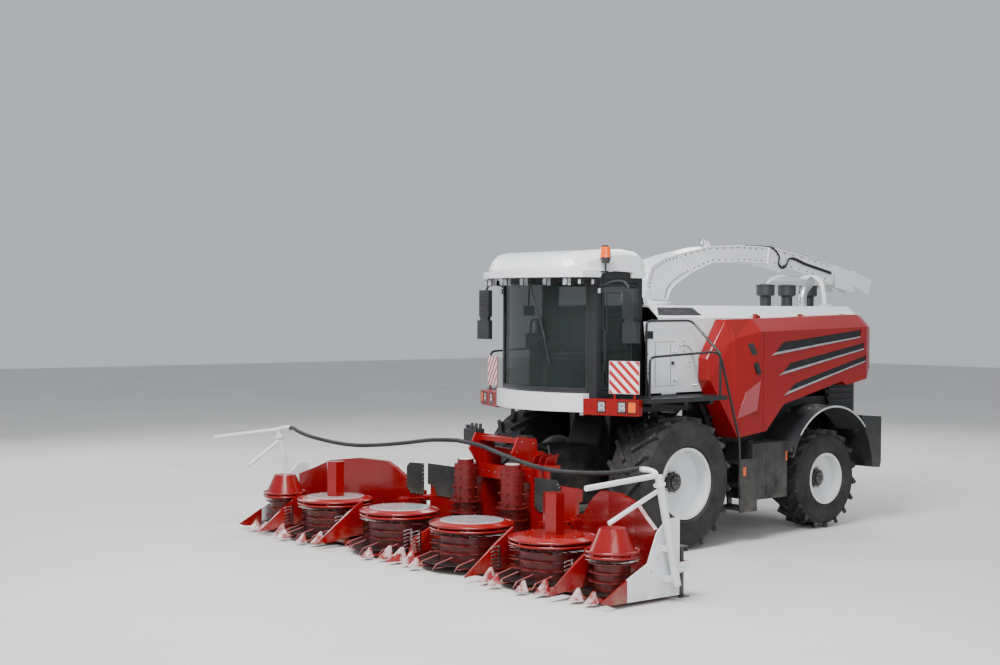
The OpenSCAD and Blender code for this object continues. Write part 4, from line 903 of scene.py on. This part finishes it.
# Body, side, and the outline in y and z
FLAPS = (
    ("header", 1, [(0.72, 0.66), (0.80, 0.60), (1.12, 0.60), (1.21, 0.68), (1.21, 0.96), (1.14, 1.035),
                   (0.72, 1.035)]),
    ("header", -1, [(0.70, 0.66), (0.80, 0.60), (1.32, 0.60), (1.38, 0.735), (1.53, 0.745), (1.53, 1.035),
                    (0.70, 1.035)]),
    ("wing_arm_right", -1, [(1.545, 0.60), (1.76, 0.60), (1.83, 0.70), (1.83, 0.98), (1.78, 1.035),
                            (1.545, 1.035)]),
)
FLAP_TOP = 1.03
FLAP_BOLT_GAP = 0.06


def flap_x(body, y):
    """Where a flap starts: on the middle's flat back wall, or on the wing's slanting one near the fold."""
    return 1.902 if body == "header" else 1.96 + 0.25 * (y - 1.56) / 0.82 + 0.002


def make_flaps():
    """Black rubber flaps above the back walls, bolted along their edges except the upper one."""
    for body, side, outline in FLAPS:
        flap, bolts = Piece(), Piece()
        flap.loft([[at(flap_x(body, y) + out, side * y, z) for y, z in outline] for out in (0.0, 0.011)])
        middle = [sum(values) / len(outline) for values in zip(*outline)]
        for a, b in pairs_round(outline):
            if a[1] > FLAP_TOP and b[1] > FLAP_TOP:
                continue
            steps = max(1, round(math.dist(a, b) / FLAP_BOLT_GAP))
            for i in range(steps):
                y, z = between(a, b, i / steps)
                y, z = y + (middle[0] - y) * 0.06, z + (middle[1] - z) * 0.07
                x = flap_x(body, y)
                bolts.rod(at(x + 0.0105, side * y, z), at(x + 0.017, side * y, z), 0.0085, 8)
        tag = f"{body}_{'left' if side > 0 else 'right'}"
        flap.make(f"crop_flap_{tag}", RUBBER, body, bevel=0.003)
        bolts.make(f"crop_flap_bolts_{tag}", PALE_STEEL, body)


def make_drums():
    """Caps of the feed drums and the teeth in six rows, which are staggered and shorter at the top."""
    for name, side in SIDES:
        body, centre = f"drum_{name}", at(2.08, side * 0.48, 0)
        cap = Piece().turned(centre, UP, [(1.1895, 0.094), (1.196, 0.094), (1.204, 0.080), (1.206, 0.030)])
        cap.make(f"drum_cap_{name}", PALE_PAINT if side > 0 else WHITE, body)
        teeth = Piece()
        for z in (0.440, 0.560, 0.690, 0.820, 0.950, 1.070):
            tip_r = 0.196 if z < 0.9 else 0.168
            for angle in angles(8, 0.5 * (z > 0.6)):
                root = around(centre, 0.146, angle, z)
                tip = around(centre, tip_r, angle + 0.1, z + 0.004)
                wide = across(angle)
                teeth.loft([slab(root, wide * 0.02, -0.012, 0.012), slab(tip, wide * 0.006, -0.006, 0.006)])
        teeth.make(f"drum_teeth_{name}", DARK_RED, body, smooth=False)


def make_frame_bolts():
    bolts = Piece()
    for side in (1, -1):
        cheek = ((1.66, 1.16), (1.84, 1.16), (1.98, 1.34), (1.90, 1.47), (1.70, 1.44))
        bolts.bolts([at(x, side * 0.45, z) for x, z in cheek], (0, side, 0), 0.011, 0.009)
        bolts.bolts([at(1.90, side * (0.08 + 0.13 * i), 1.035) for i in range(5)], FORWARD, 0.010, 0.008)
        bolts.bolts([at(1.88, side * (0.74 + 0.15 * i), 0.90) for i in range(5)], FORWARD, 0.010, 0.008)
    bolts.make("frame_bolts", PALE_STEEL, "header")


def make_header_blocks():
    """Red hydraulic block on the frame's left and black valve block on its right."""
    block = Piece()
    for low, high in (
        ((1.80, 0.68, 0.938), (1.86, 0.74, 1.20)),
        ((1.80, 0.84, 0.938), (1.86, 0.90, 1.20)),
        ((1.66, 0.58, 1.15), (1.84, 0.94, 1.19)),
    ):
        block.block(low, high)
    for y in (0.62, 0.74, 0.86):
        block.loft([
            [at(x, y - 0.035, 1.18), at(x, y - 0.015, 1.18), at(x, y + 0.045, top), at(x, y + 0.025, top)]
            for x, top in ((1.66, 1.33), (1.85, 1.30))
        ])
    block.make("hydraulic_block", RED, "header", bevel=0.003)
    valve = Piece().block((1.62, -0.90, 1.36), (1.78, -0.64, 1.56))
    valve.block((1.64, -0.66, 1.40), (1.76, -0.449, 1.44))
    for y in (-0.86, -0.77, -0.68):
        valve.rod(at(1.66, y, 1.55), at(1.66, y, 1.63), 0.022)
        valve.rod(at(1.74, y, 1.55), at(1.74, y, 1.61), 0.028)
    valve.make("valve_block", PLASTIC, "header", bevel=0.006)


def make_header_lines():
    """Six lines from the frame to the feeder house, and one from each block."""
    lines = Piece()
    for i in range(6):
        y = -0.30 + 0.12 * i
        lines.hose(((1.70 + 0.03 * i, y, 1.495), (1.66, y, 1.516), (1.57, y, 1.500), (1.47, y * 0.85, 1.42),
                    (1.30, y * 0.7, 1.34), (1.10, y * 0.6, 1.29)), 0.016, 3)
    lines.hose(((1.66, -0.70, 1.40), (1.60, -0.60, 1.34), (1.50, -0.46, 1.36), (1.38, -0.36, 1.30),
                (1.22, -0.30, 1.24)), 0.014, 3)
    lines.hose(((1.68, 0.70, 1.185), (1.60, 0.66, 1.30), (1.50, 0.52, 1.40), (1.36, 0.40, 1.36),
                (1.20, 0.32, 1.26)), 0.014, 3)
    lines.make("header_lines", HOSE, "header")


def make_header_trim():
    make_frame_bolts()
    make_header_blocks()
    make_header_lines()


# Cab

SCREEN_X, SCREEN_R = -0.31, 1.652


def screen(y, z, out=0.0):
    """A place on the curved windscreen, or out in front of it."""
    return at(SCREEN_X + math.sqrt((SCREEN_R + out) ** 2 - y * y), y, z)


def make_windscreen_trim():
    """Gasket round the windscreen, the wiper, and the bands above and below the glass."""
    gasket = Piece()
    for a, b in pairs_round([(-0.835, 2.145), (0.835, 2.145), (0.835, 3.545), (-0.835, 3.545)]):
        gasket.tube([screen(*between(a, b, i / 16), -0.003) for i in range(17)], 0.012)
    gasket.make("windscreen_gasket", RUBBER)
    wiper = Piece().rod(screen(0.02, 3.56, -0.005), screen(0.02, 3.56, 0.030), 0.022, 16)
    arm = ((0.02, 3.56, 0.026), (0.07, 3.35, 0.030), (0.20, 3.00, 0.022), (0.27, 2.80, 0.018))
    blade = ((0.14, 3.20, 0.006), (0.23, 2.85, 0.007), (0.34, 2.45, 0.006))
    wiper.tube([screen(*place) for place in arm], 0.009)
    wiper.tube([screen(*place) for place in blade], 0.007)
    wiper.make("wiper", PLASTIC)
    bands = Piece()
    for z0, z1 in ((3.555, 3.606), (2.0915, 2.132)):
        section = ((z0, -0.004), (z1, -0.004), (z1, 0.004), (z0, 0.004))
        bands.loft([[screen(-0.84 + 1.68 * i / 16, z, out) for z, out in section] for i in range(17)])
    bands.make("windscreen_bands", PLASTIC)


def make_cab_monitors():
    """Monitor on an arm, a second one that hangs from the roof, and a lever with its knob."""
    inside = Piece().block((0.98, -0.50, 2.66), (1.01, -0.24, 2.86))
    inside.rod(at(0.93, -0.37, 2.60), at(0.99, -0.37, 2.70), 0.018)
    inside.rod(at(0.90, -0.37, 2.50), at(0.93, -0.37, 2.62), 0.018)
    inside.block((0.98, -0.56, 3.10), (1.00, -0.34, 3.24))
    inside.rod(at(1.0, -0.45, 3.22), at(0.98, -0.45, 3.56), 0.012)
    inside.rod(at(0.84, -0.36, 2.66), at(0.86, -0.36, 2.80), 0.016)
    inside.rod(at(0.86, -0.36, 2.79), at(0.875, -0.36, 2.87), 0.028, 12, 0.022)
    inside.make("cab_monitors", PLASTIC, bevel=0.006)


def make_door_trim():
    """Seal on the cab door and its handle."""
    trim = Piece()
    seal_y = 0.9515
    for x in (0.40, 0.86):
        trim.rod(at(x, seal_y, 2.26), at(x, seal_y, 3.40), 0.006, 8)
    for z in (2.25, 3.41):
        trim.rod(at(0.39, seal_y, z), at(0.87, seal_y, z), 0.006, 8)
    handle = ((0.951, 2.36), (0.985, 2.40), (0.985, 2.90), (0.951, 2.94))
    trim.tube([at(0.925, y, z) for y, z in handle], 0.009)
    trim.make("door_trim", PLASTIC, "door")


def make_door_arch(name, side):
    """Panel above the door, with its rounded edge."""
    arch = ((0.428, 3.604), (0.456, 3.679), (0.76, 3.692), (0.995, 3.660), (1.036, 3.604))
    rim = Piece().loft([[at(x, side * y, z) for x, z in arch] for y in (0.9535, 0.9575)])
    rim.tube([at(x, side * 0.961, z + 0.003) for x, z in arch], 0.007)
    rim.make(f"door_arch_{name}", PLASTIC)


def make_mirror(name, side):
    """Ribs on the back of a mirror, and its two glasses."""
    ribs = Piece().block((0.905, 1.375, 3.028), (0.965, 1.545, 3.082), side)
    for i in range(9):
        z = 3.115 + 0.036 * i
        ribs.block((0.9695, 1.375, z), (0.975, 1.535, z + 0.012), side)
    ribs.make(f"mirror_ribs_{name}", PLASTIC, bevel=0.002)
    glasses = Piece().block((0.8982, 1.372, 3.105), (0.9002, 1.538, 3.435), side)
    glasses.block((0.8982, 1.368, 2.785), (0.9002, 1.578, 3.005), side)
    glasses.make(f"mirror_glass_{name}", CHROME)


def make_cab_trim():
    make_windscreen_trim()
    make_cab_monitors()
    make_door_trim()
    for name, side in SIDES:
        make_door_arch(name, side)
        make_mirror(name, side)


def cushion(name, low, high, crown, pull, turn=0.0, pivot=None):
    """Crowned pad: a rounded block whose sides pull in between the corners, with a piped seam."""
    centre, half = (low + high) / 2, (high - low) / 2
    mesh = bpy.data.meshes.new(name)
    build = bmesh.new()
    bmesh.ops.create_cube(build, size=2.0)
    bmesh.ops.subdivide_edges(build, edges=build.edges[:], cuts=11, use_grid_fill=True)
    spin = Matrix.Rotation(turn, 3, "Y")
    for vert in build.verts:
        u, v, w = vert.co
        norm = (abs(u) ** 6 + abs(v) ** 6 + abs(w) ** 6) ** (1 / 6)
        u, v, w = u / norm, v / norm, w / norm
        swell = (1 - u * u) * (1 - v * v) if abs(w) > 0.5 else 0.0
        groove = 0.10 * math.exp(-((abs(v) - 0.55) / 0.05) ** 2) + 0.08 * math.exp(-(u / 0.05) ** 2)
        top = half.z * w * (1 - crown + crown * swell) - (half.z * groove * swell if w > 0.5 else 0.0)
        ahead, aside = half.x * u * (1 - pull * (1 - v * v)), half.y * v * (1 - pull * (1 - u * u))
        point = centre + Vector((ahead, aside, top))
        if pivot is not None:
            point = pivot + spin @ (point - pivot)
        vert.co = point
    build.to_mesh(mesh)
    build.free()
    mesh.materials.append(CLOTH)
    obj = new_object(name, mesh)
    smooth_by_angle(obj, 60)
    soft = obj.modifiers.new("soft", "SUBSURF")
    soft.levels = soft.render_levels = 1
    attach(obj, "chassis")
    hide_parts("seat")


def make_seat():
    cushion("seat_cushion", at(0.425, -0.247, 2.482), at(0.878, 0.247, 2.600), 0.14, 0.03)
    cushion("seat_back", at(0.330, -0.237, 2.600), at(0.440, 0.237, 3.200), 0.10, 0.03,
            math.radians(-10), at(0.44, 0, 2.59))


# Hoods

# Front x and z, rear x and z, and height
LOUVRE_SLOTS = (
    (-1.92, 2.59, -3.88, 2.80, 0.150), (-2.08, 2.31, -3.96, 2.62, 0.130), (-2.19, 2.03, -4.01, 2.44, 0.120),
)
# Share of the slot's length, lower and upper height, and outer y
LOUVRE_TRIM = (
    (-0.045, -0.030, -0.022, 1.503), (0.0, -0.026, 0.012, 1.512), (0.5, -0.018, 0.014, 1.512),
    (0.985, -0.012, 0.012, 1.512), (1.0, -0.004, 0.006, 1.503),
)
# Falling x with the shoulder's y, and with the z of the hood's lower edge and shoulder
HOOD_SHOULDER = ((-0.74, 1.27), (-1.09, 1.40), (-1.14, 1.42), (-1.61, 1.50), (-1.72, 1.50), (-4.03, 1.50))
HOOD_EDGES = (
    (-0.74, 2.23, 2.51), (-1.09, 1.53, 2.76), (-1.14, 1.43, 2.79), (-1.61, 1.49, 2.89), (-1.72, 1.50, 2.892),
    (-2.10, 1.86, 2.90), (-4.03, 2.17, 2.95),
)


def interpolate(stations, x):
    """The values at x, between stations whose x falls from each to the next."""
    for a, b in zip(stations, stations[1:]):
        if b[0] <= x <= a[0]:
            return between(a[1:], b[1:], (a[0] - x) / (a[0] - b[0]))


def hood_face(x, side, z, out):
    """A place on the side hood's outer face, which bulges between its lower edge and its shoulder."""
    (shoulder,) = interpolate(HOOD_SHOULDER, x)
    lower_edge = shoulder + (0.06 if x > -1.60 else 0.0)
    z_low, z_high = interpolate(HOOD_EDGES, x)
    t = max(0.0, min(1.0, (z - z_low) / (z_high - z_low)))
    return at(x, side * (lower_edge + (shoulder - lower_edge) * t + out), z)


def hood_plate(piece, side, outline, inner, outer):
    """A plate on the side hood, from inner to outer out of its face."""
    piece.loft([[hood_face(x, side, z, out) for x, z in outline] for out in (inner, outer)])


def make_louvres():
    """Mesh in the hood lid's three slots and a bright strip along each."""
    for name, side in SIDES:
        net, trim = Piece(), Piece()
        for x0, z0, x1, z1, high in LOUVRE_SLOTS:
            outline = ((x0 - 0.02, z0 + 0.012), (x1, z1 + 0.008), (x1 - 0.018, z1 + high * 0.66),
                       (x0 - 0.155, z0 + high * 0.95))
            net.loft([[at(x, side * y, z) for x, z in outline] for y in (1.4885, 1.4910)])
            rings = []
            for share, low, top, out in LOUVRE_TRIM:
                x, z = between((x0, z0), (x1, z1), share)
                rings.append([at(x, side * 1.492, z + low), at(x, side * out, z + low + 0.003),
                              at(x, side * out, z + top - 0.003), at(x, side * 1.492, z + top)])
            trim.loft(rings)
        net.make(f"louvre_mesh_{name}", MESH, f"hood_lid_{name}", smooth=False)
        trim.make(f"louvre_trim_{name}", SILVER, f"hood_lid_{name}", bevel=0.002)


def make_hood_panels(name, side):
    """Two slanting vents and the raised rhomb on the hood's front part."""
    vents, rhomb = Piece(), Piece()
    for points in (((-1.36, 2.72), (-1.455, 2.735), (-1.53, 2.58), (-1.435, 2.56)),
                   ((-1.445, 2.45), (-1.54, 2.465), (-1.61, 2.31), (-1.515, 2.29))):
        middle = [sum(values) / len(points) for values in zip(*points)]
        hood_plate(vents, side, points, -0.004, 0.004)
        hood_plate(vents, side, [between(middle, point, 0.62) for point in points], 0.0, 0.010)
    vents.make(f"hood_vents_{name}", PLASTIC, smooth=False)
    outline = ((-1.60, 2.21), (-1.30, 2.05), (-1.145, 1.70), (-1.30, 1.74), (-1.49, 1.80))
    hood_plate(rhomb, side, outline, -0.004, 0.005)
    rhomb.make(f"hood_panel_{name}", PALE_RED, bevel=0.002, smooth=False)


def make_arch_lip(name, side):
    """Rounded lip of the rear wheel's arch."""
    turns = [math.radians(a) for a in range(38, 143, 5)]
    centre, radius = at(-WHEELBASE, side * 1.550, 0.80), 0.988
    route = [centre + Vector((radius * math.cos(a), 0, radius * math.sin(a))) for a in turns]
    lip = Piece().tube([p for p in route if p.z > 1.105], 0.017)
    lip.make(f"arch_lip_{name}", ARCH_GREY)


# Walkways and sides


def make_walkway_tread(name, side):
    """Rows of short bars on the walkway, up to the light bar."""
    tread, long, wide = Piece(), 0.030, 0.009
    for i in range(30):
        for j in range(9):
            x, y = -0.68 + 0.052 * i, 1.14 + 0.056 * j
            ahead = (x + long - BAR_X) * math.cos(BAR_SWEEP) + (y + wide - BAR_Y) * math.sin(BAR_SWEEP)
            if ahead <= -0.15:
                tread.block((x, y, 2.0395), (x + long, y + wide, 2.0425), side)
    tread.make(f"walkway_tread_{name}", STEEL_DARK, smooth=False, slot="black_paint")


def make_reflectors(name, side):
    # The amber reflectors glow faintly: painted light, as they are no lamps.
    amber = Piece().block((-1.10, 1.6148, 0.92), (-1.16, 1.6195, 1.04), side)
    amber.block((-2.15, 1.4995, 1.06), (-2.18, 1.5045, 1.20), side)
    amber.make(f"amber_reflector_{name}", GLOWING_AMBER_LENS, bevel=0.001)
    tail = Piece().block((-4.418, 1.15, 1.30), (-4.4095, 1.22, 1.36), side)
    tail.make(f"tail_reflector_{name}", RED_LENS, bevel=0.001)


def make_tank_ribs(name, side):
    """Upright ribs on the side tank, and its filler cap."""
    tank = Piece()
    for i in range(3):
        tank.block((-1.52 - 0.21 * i, 1.4995, 0.62), (-1.55 - 0.21 * i, 1.507, 1.26), side)
    cap = ((0.0, 0.06), (0.03, 0.06), (0.045, 0.05), (0.046, 0.02))
    tank.turned(at(-1.60, side * 1.30, 1.329), UP, cap, 24)
    tank.make(f"tank_ribs_{name}", PLASTIC, bevel=0.003)


def make_hood_trim():
    for name, side in SIDES:
        make_hood_panels(name, side)
        make_arch_lip(name, side)
        make_walkway_tread(name, side)
        make_reflectors(name, side)
        make_tank_ribs(name, side)


GRAB_ROUTE = (
    (-0.370, 1.095, 2.716), (-0.377, 1.150, 2.713), (-0.497, 1.155, 2.684), (-0.578, 1.155, 2.588),
    (-0.661, 1.155, 2.340), (-0.682, 1.155, 2.190), (-0.665, 1.150, 2.165), (-0.642, 1.095, 2.162),
)
SIDE_BOLTS = (
    (-0.46, 2.757), (-0.47, 2.62), (-0.50, 2.42), (-0.57, 2.47), (-0.58, 2.415), (0.24, 2.60), (0.24, 2.34),
    (0.20, 2.22),
)


def make_service_door_trim():
    lock_profile = ((0.0, 0.026), (0.010, 0.026), (0.014, 0.018), (0.015, 0.010))
    lock = Piece().turned(at(-0.237, 1.0995, 2.47), LEFT, lock_profile, 20)
    lock.make("door_lock", PLASTIC, "service_lid")
    seal = Piece()
    for x in (0.098, -0.20):
        seal.rod(at(x, 1.1002, 2.735), at(x, 1.1002, 2.19), 0.0035, 6)
    seal.make("door_seal", RUBBER, "service_lid")


def make_side_trim(name, side):
    """Vent with four slats and a knob, the grab rail and the bolts of a side panel."""
    vent = Piece().block((0.144, 1.0995, 2.80), (0.300, 1.104, 2.905), side)
    for i in range(4):
        vent.block((0.150, 1.103, 2.810 + 0.023 * i), (0.294, 1.111, 2.820 + 0.023 * i), side)
    knob = ((0.0, 0.014), (0.004, 0.014), (0.005, 0.008))
    vent.turned(at(0.268, side * 1.099, 2.74), (0, side, 0), knob, 14)
    vent.make(f"side_vent_{name}", PLASTIC)
    grab = Piece().hose([(x, side * y, z) for x, y, z in GRAB_ROUTE], 0.011, 4)
    grab.make(f"grab_rail_{name}", SILVER)
    bolts = Piece().bolts([at(x, side * 1.1, z) for x, z in SIDE_BOLTS], (0, side, 0), 0.009, 0.006)
    bolts.make(f"side_bolts_{name}", STEEL_DARK)


def make_deck_vents():
    """Rows of vents on the deck, round the spout's turntable."""
    grid = Piece()
    for i in range(17):
        for j in range(8):
            x, y = -0.05 - 0.045 * i, 0.34 + 0.066 * j
            if (x + 0.89) ** 2 + y ** 2 > 0.38 ** 2:
                for side in (1, -1):
                    grid.block((x - 0.016, y - 0.024, 3.2495), (x + 0.016, y + 0.024, 3.2520), side)
    grid.make("deck_vents", PLASTIC, smooth=False)


def make_deck_grille(name, side):
    """Grille on the slope beside the deck."""
    corners = ((0.0, 1.060), (-0.10, 0.935), (-0.80, 0.935), (-0.86, 1.060))
    panel = Piece().loft([
        [at(x, side * (y + 0.65 * out), 3.25 - (y - 0.9) * 0.85 + 0.76 * out) for x, y in corners]
        for out in (-0.002, 0.004)
    ])
    panel.make(f"deck_grille_{name}", DECK_MESH, smooth=False)


def make_side_panels():
    make_service_door_trim()
    for name, side in SIDES:
        make_side_trim(name, side)
    make_deck_vents()
    for name, side in SIDES:
        make_deck_grille(name, side)


# Spout

SPOUT_UPPER = (
    (-0.68, 3.33), (-0.66, 3.60), (-0.74, 3.80), (-0.98, 3.92), (-1.32, 4.00), (-1.96, 4.12), (-2.70, 4.16),
    (-3.33, 4.15), (-4.30, 4.03), (-5.00, 3.89),
)
SPOUT_LOWER = (
    (-1.10, 3.33), (-1.14, 3.45), (-1.24, 3.54), (-1.42, 3.64), (-1.62, 3.74), (-2.05, 3.89), (-2.70, 3.92),
    (-3.30, 3.90), (-4.22, 3.77), (-4.92, 3.60),
)
# Stations at which two panels are bolted together
SPOUT_FLANGES = (4, 7)


def on_spout(t, share, y, ahead=0.0):
    """A place beside the duct: t counts its stations, and share goes from its upper to its lower edge."""
    i = min(int(t), len(SPOUT_UPPER) - 2)
    upper, lower = (between(edge[i], edge[i + 1], t - i) for edge in (SPOUT_UPPER, SPOUT_LOWER))
    x, z = between(upper, lower, share)
    return at(x + ahead, y, z)


def make_spout_bolts():
    """Bolts in two rows along each side, except at the flanges."""
    bolts = Piece()
    for side in (1, -1):
        for k in range(40):
            t = 0.3 + k * 0.215
            if min(abs(t - flange) for flange in SPOUT_FLANGES) < 0.06:
                continue
            for share in (0.13, 0.84):
                bolts.rod(on_spout(t, share, side * 0.1895), on_spout(t, share, side * 0.197), 0.0105, 8)
    bolts.make("spout_bolts", STEEL_DARK, "spout_arm")


def make_spout_ribs():
    """Round edges along each panel, and the bolts through the flanges."""
    ribs = Piece()
    for side in (1, -1):
        for start, end in ((0.15, 3.94), (4.06, 6.94), (7.06, 8.8)):
            for share in (0.02, 0.98):
                stations = [start + (end - start) * k / 16 for k in range(17)]
                ribs.tube([on_spout(t, share, side * 0.1905) for t in stations], 0.009)
        for flange in SPOUT_FLANGES:
            t = flange + 0.0001
            for share in (0.12, 0.35, 0.6, 0.85):
                for way in (-1, 1):
                    ends = [on_spout(t, share, side * 0.199, way * out) for out in (0.0055, 0.015)]
                    ribs.rod(*ends, 0.007, 6)
    ribs.make("spout_ribs", WHITE, "spout_arm")


def make_spout_lamp():
    centre = at(-2.0255, 0, 4.190)
    rim = ((0.0, 0.0455), (0.007, 0.0455), (0.008, 0.040), (0.003, 0.038))
    pane = ((0.0, 0.038), (0.003, 0.036), (0.005, 0.020), (0.0055, 0.004))
    Piece().turned(centre, FORWARD, rim, 28).make("spout_lamp_rim", PLASTIC, "spout_arm")
    Piece().turned(centre, FORWARD, pane, 24).make("spout_lamp_glass", CLEAR_LENS, "spout_arm")


def make_spout_hoses():
    """Two hoses side by side, from the top of the duct down its left side to the flap."""
    hoses = Piece()
    for gap in (0.0, 0.024):
        hoses.hose((
            (-2.95, 0.05 + gap, 4.172), (-3.15, 0.06 + gap, 4.170), (-3.30, 0.12 + gap, 4.166),
            (-3.40, 0.19, 4.158 - gap), (-3.47, 0.206 + gap / 3, 4.110),
            (-3.56, 0.208 + gap / 3, 4.025 - gap), (-3.545, 0.208, 3.900 + gap),
            (-3.62, 0.208, 3.835 + gap), (-3.72, 0.208 + gap / 3, 3.870 + gap),
            (-3.80, 0.207, 3.985), (-3.95, 0.205, 4.000 - gap), (-4.20, 0.204, 3.930 - gap),
            (-4.60, 0.204, 3.850 - gap), (-4.86, 0.204, 3.800 - gap),
        ), 0.0115, 4)
    hoses.make("spout_hoses", HOSE, "spout_arm")


def make_spout_drives():
    """The flap's actuator, the turntable's bolts and the motor that swings it."""
    actuator = Piece().rod(at(-4.42, 0.0, 4.065), at(-4.80, 0.0, 3.985), 0.026, 16)
    actuator.rod(at(-4.78, 0, 3.988), at(-4.93, 0, 3.955), 0.013)
    actuator.block((-4.40, -0.03, 4.01), (-4.34, 0.03, 4.085))
    actuator.make("flap_actuator", STEEL, "spout_arm", bevel=0.002)
    ring = Piece().bolts([around(at(-0.89, 0, 0), 0.30, t, 3.315) for t in angles(16)], UP, 0.012, 0.010)
    ring.make("turntable_bolts", STEEL, "swivel")
    motor = Piece().rod(at(-0.42, 0.30, 3.27), at(-0.44, 0.30, 3.30), 0.05, 20)
    motor.rod(at(-0.44, 0.30, 3.29), at(-0.44, 0.30, 3.36), 0.035, 20)
    motor.make("swing_motor", BLACK, bevel=0.003)


def make_spout_trim():
    make_spout_bolts()
    make_spout_ribs()
    make_spout_lamp()
    make_spout_hoses()
    make_spout_drives()


# End frames

# Distance along the hose or the guide tube and radius
CLAMP_PROFILE = ((-0.006, 0.032), (-0.004, 0.0345), (0.004, 0.0345), (0.006, 0.032))
CAP_PROFILE = ((-0.004, 0.0285), (0.0018, 0.027), (0.0022, 0.012))


def make_end_frames():
    """Clamps of the guide hose, caps of the guide tubes and bolts of the end plates."""
    hose_x, _, hose_z = HOSE_END
    plate_bolts = ((2.72, 0.60), (2.80, 0.48), (2.62, 0.70), (2.90, 0.34), (2.60, 0.30))
    for name, side in SIDES:
        body = f"wing_arm_{name}"
        clamp = Piece()
        for y in (3.566, 3.590):
            clamp.turned(at(hose_x, side * y, hose_z), LEFT, CLAMP_PROFILE, 24)
        clamp.make(f"hose_clamp_{name}", STEEL, body)
        cap = Piece().turned(at(3.975, side * 3.85, 1.3433), (1, 0, -0.058), CAP_PROFILE, 20)
        cap.make(f"tube_cap_{name}", PLASTIC, body)
        bolts = Piece().bolts([at(x, side * 3.7445, z) for x, z in plate_bolts], (0, side, 0), 0.011, 0.009)
        bolts.make(f"end_plate_bolts_{name}", STEEL, body)


def wing_look():
    """Red paint with the end plate's rear part white."""
    look = Look("wing_paint").set(Metallic=0.0, Coat_Weight=0.3, Coat_Roughness=0.06)
    x, z = look.axis("X"), look.axis("Z")
    y = look.math("ABSOLUTE", look.axis("Y"))
    rear = look.ramp(x, 3.26 + SHIFT, 3.262 + SHIFT, 1.0, 0.0)
    plate = look.math("MULTIPLY", look.ramp(y, 3.712, 3.716), rear)
    red = look.mix(look.patches(1.3, 4.0), (0.18, 0.0015, 0.0018), (0.22, 0.0020, 0.0022))
    tone = look.mix(plate, red, (0.72, 0.73, 0.75))
    dirt = look.math("MULTIPLY", look.ramp(z, 0.0, 0.3, 0.5, 0.0), look.patches(6.0, 5.0, 0.4, 0.7))
    look.to("Base Color", look.mix(dirt, tone, DUST))
    look.to("Roughness", look.wander(7.0, 5.0, 0.16, 0.3, 0.3, 0.75))
    look.bump(look.noise(3.0, 1.0), 0.05, 0.002)
    return look.material


def main():
    for make in (
        make_camera, make_hose, dress_nodes, make_hubs, make_boards, make_lamp_rims, make_rotors, make_guards,
        make_stalk_lifters, make_combs, make_flaps, make_drums, make_header_trim, make_cab_trim, make_seat,
        make_louvres, make_side_panels, make_hood_trim, make_spout_trim, make_end_frames, make_stage,
    ):
        make()
    for name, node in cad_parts.items():
        smooth_by_angle(node, 44 if name.startswith("hood") or name == "cab_roof" else 28)


main()
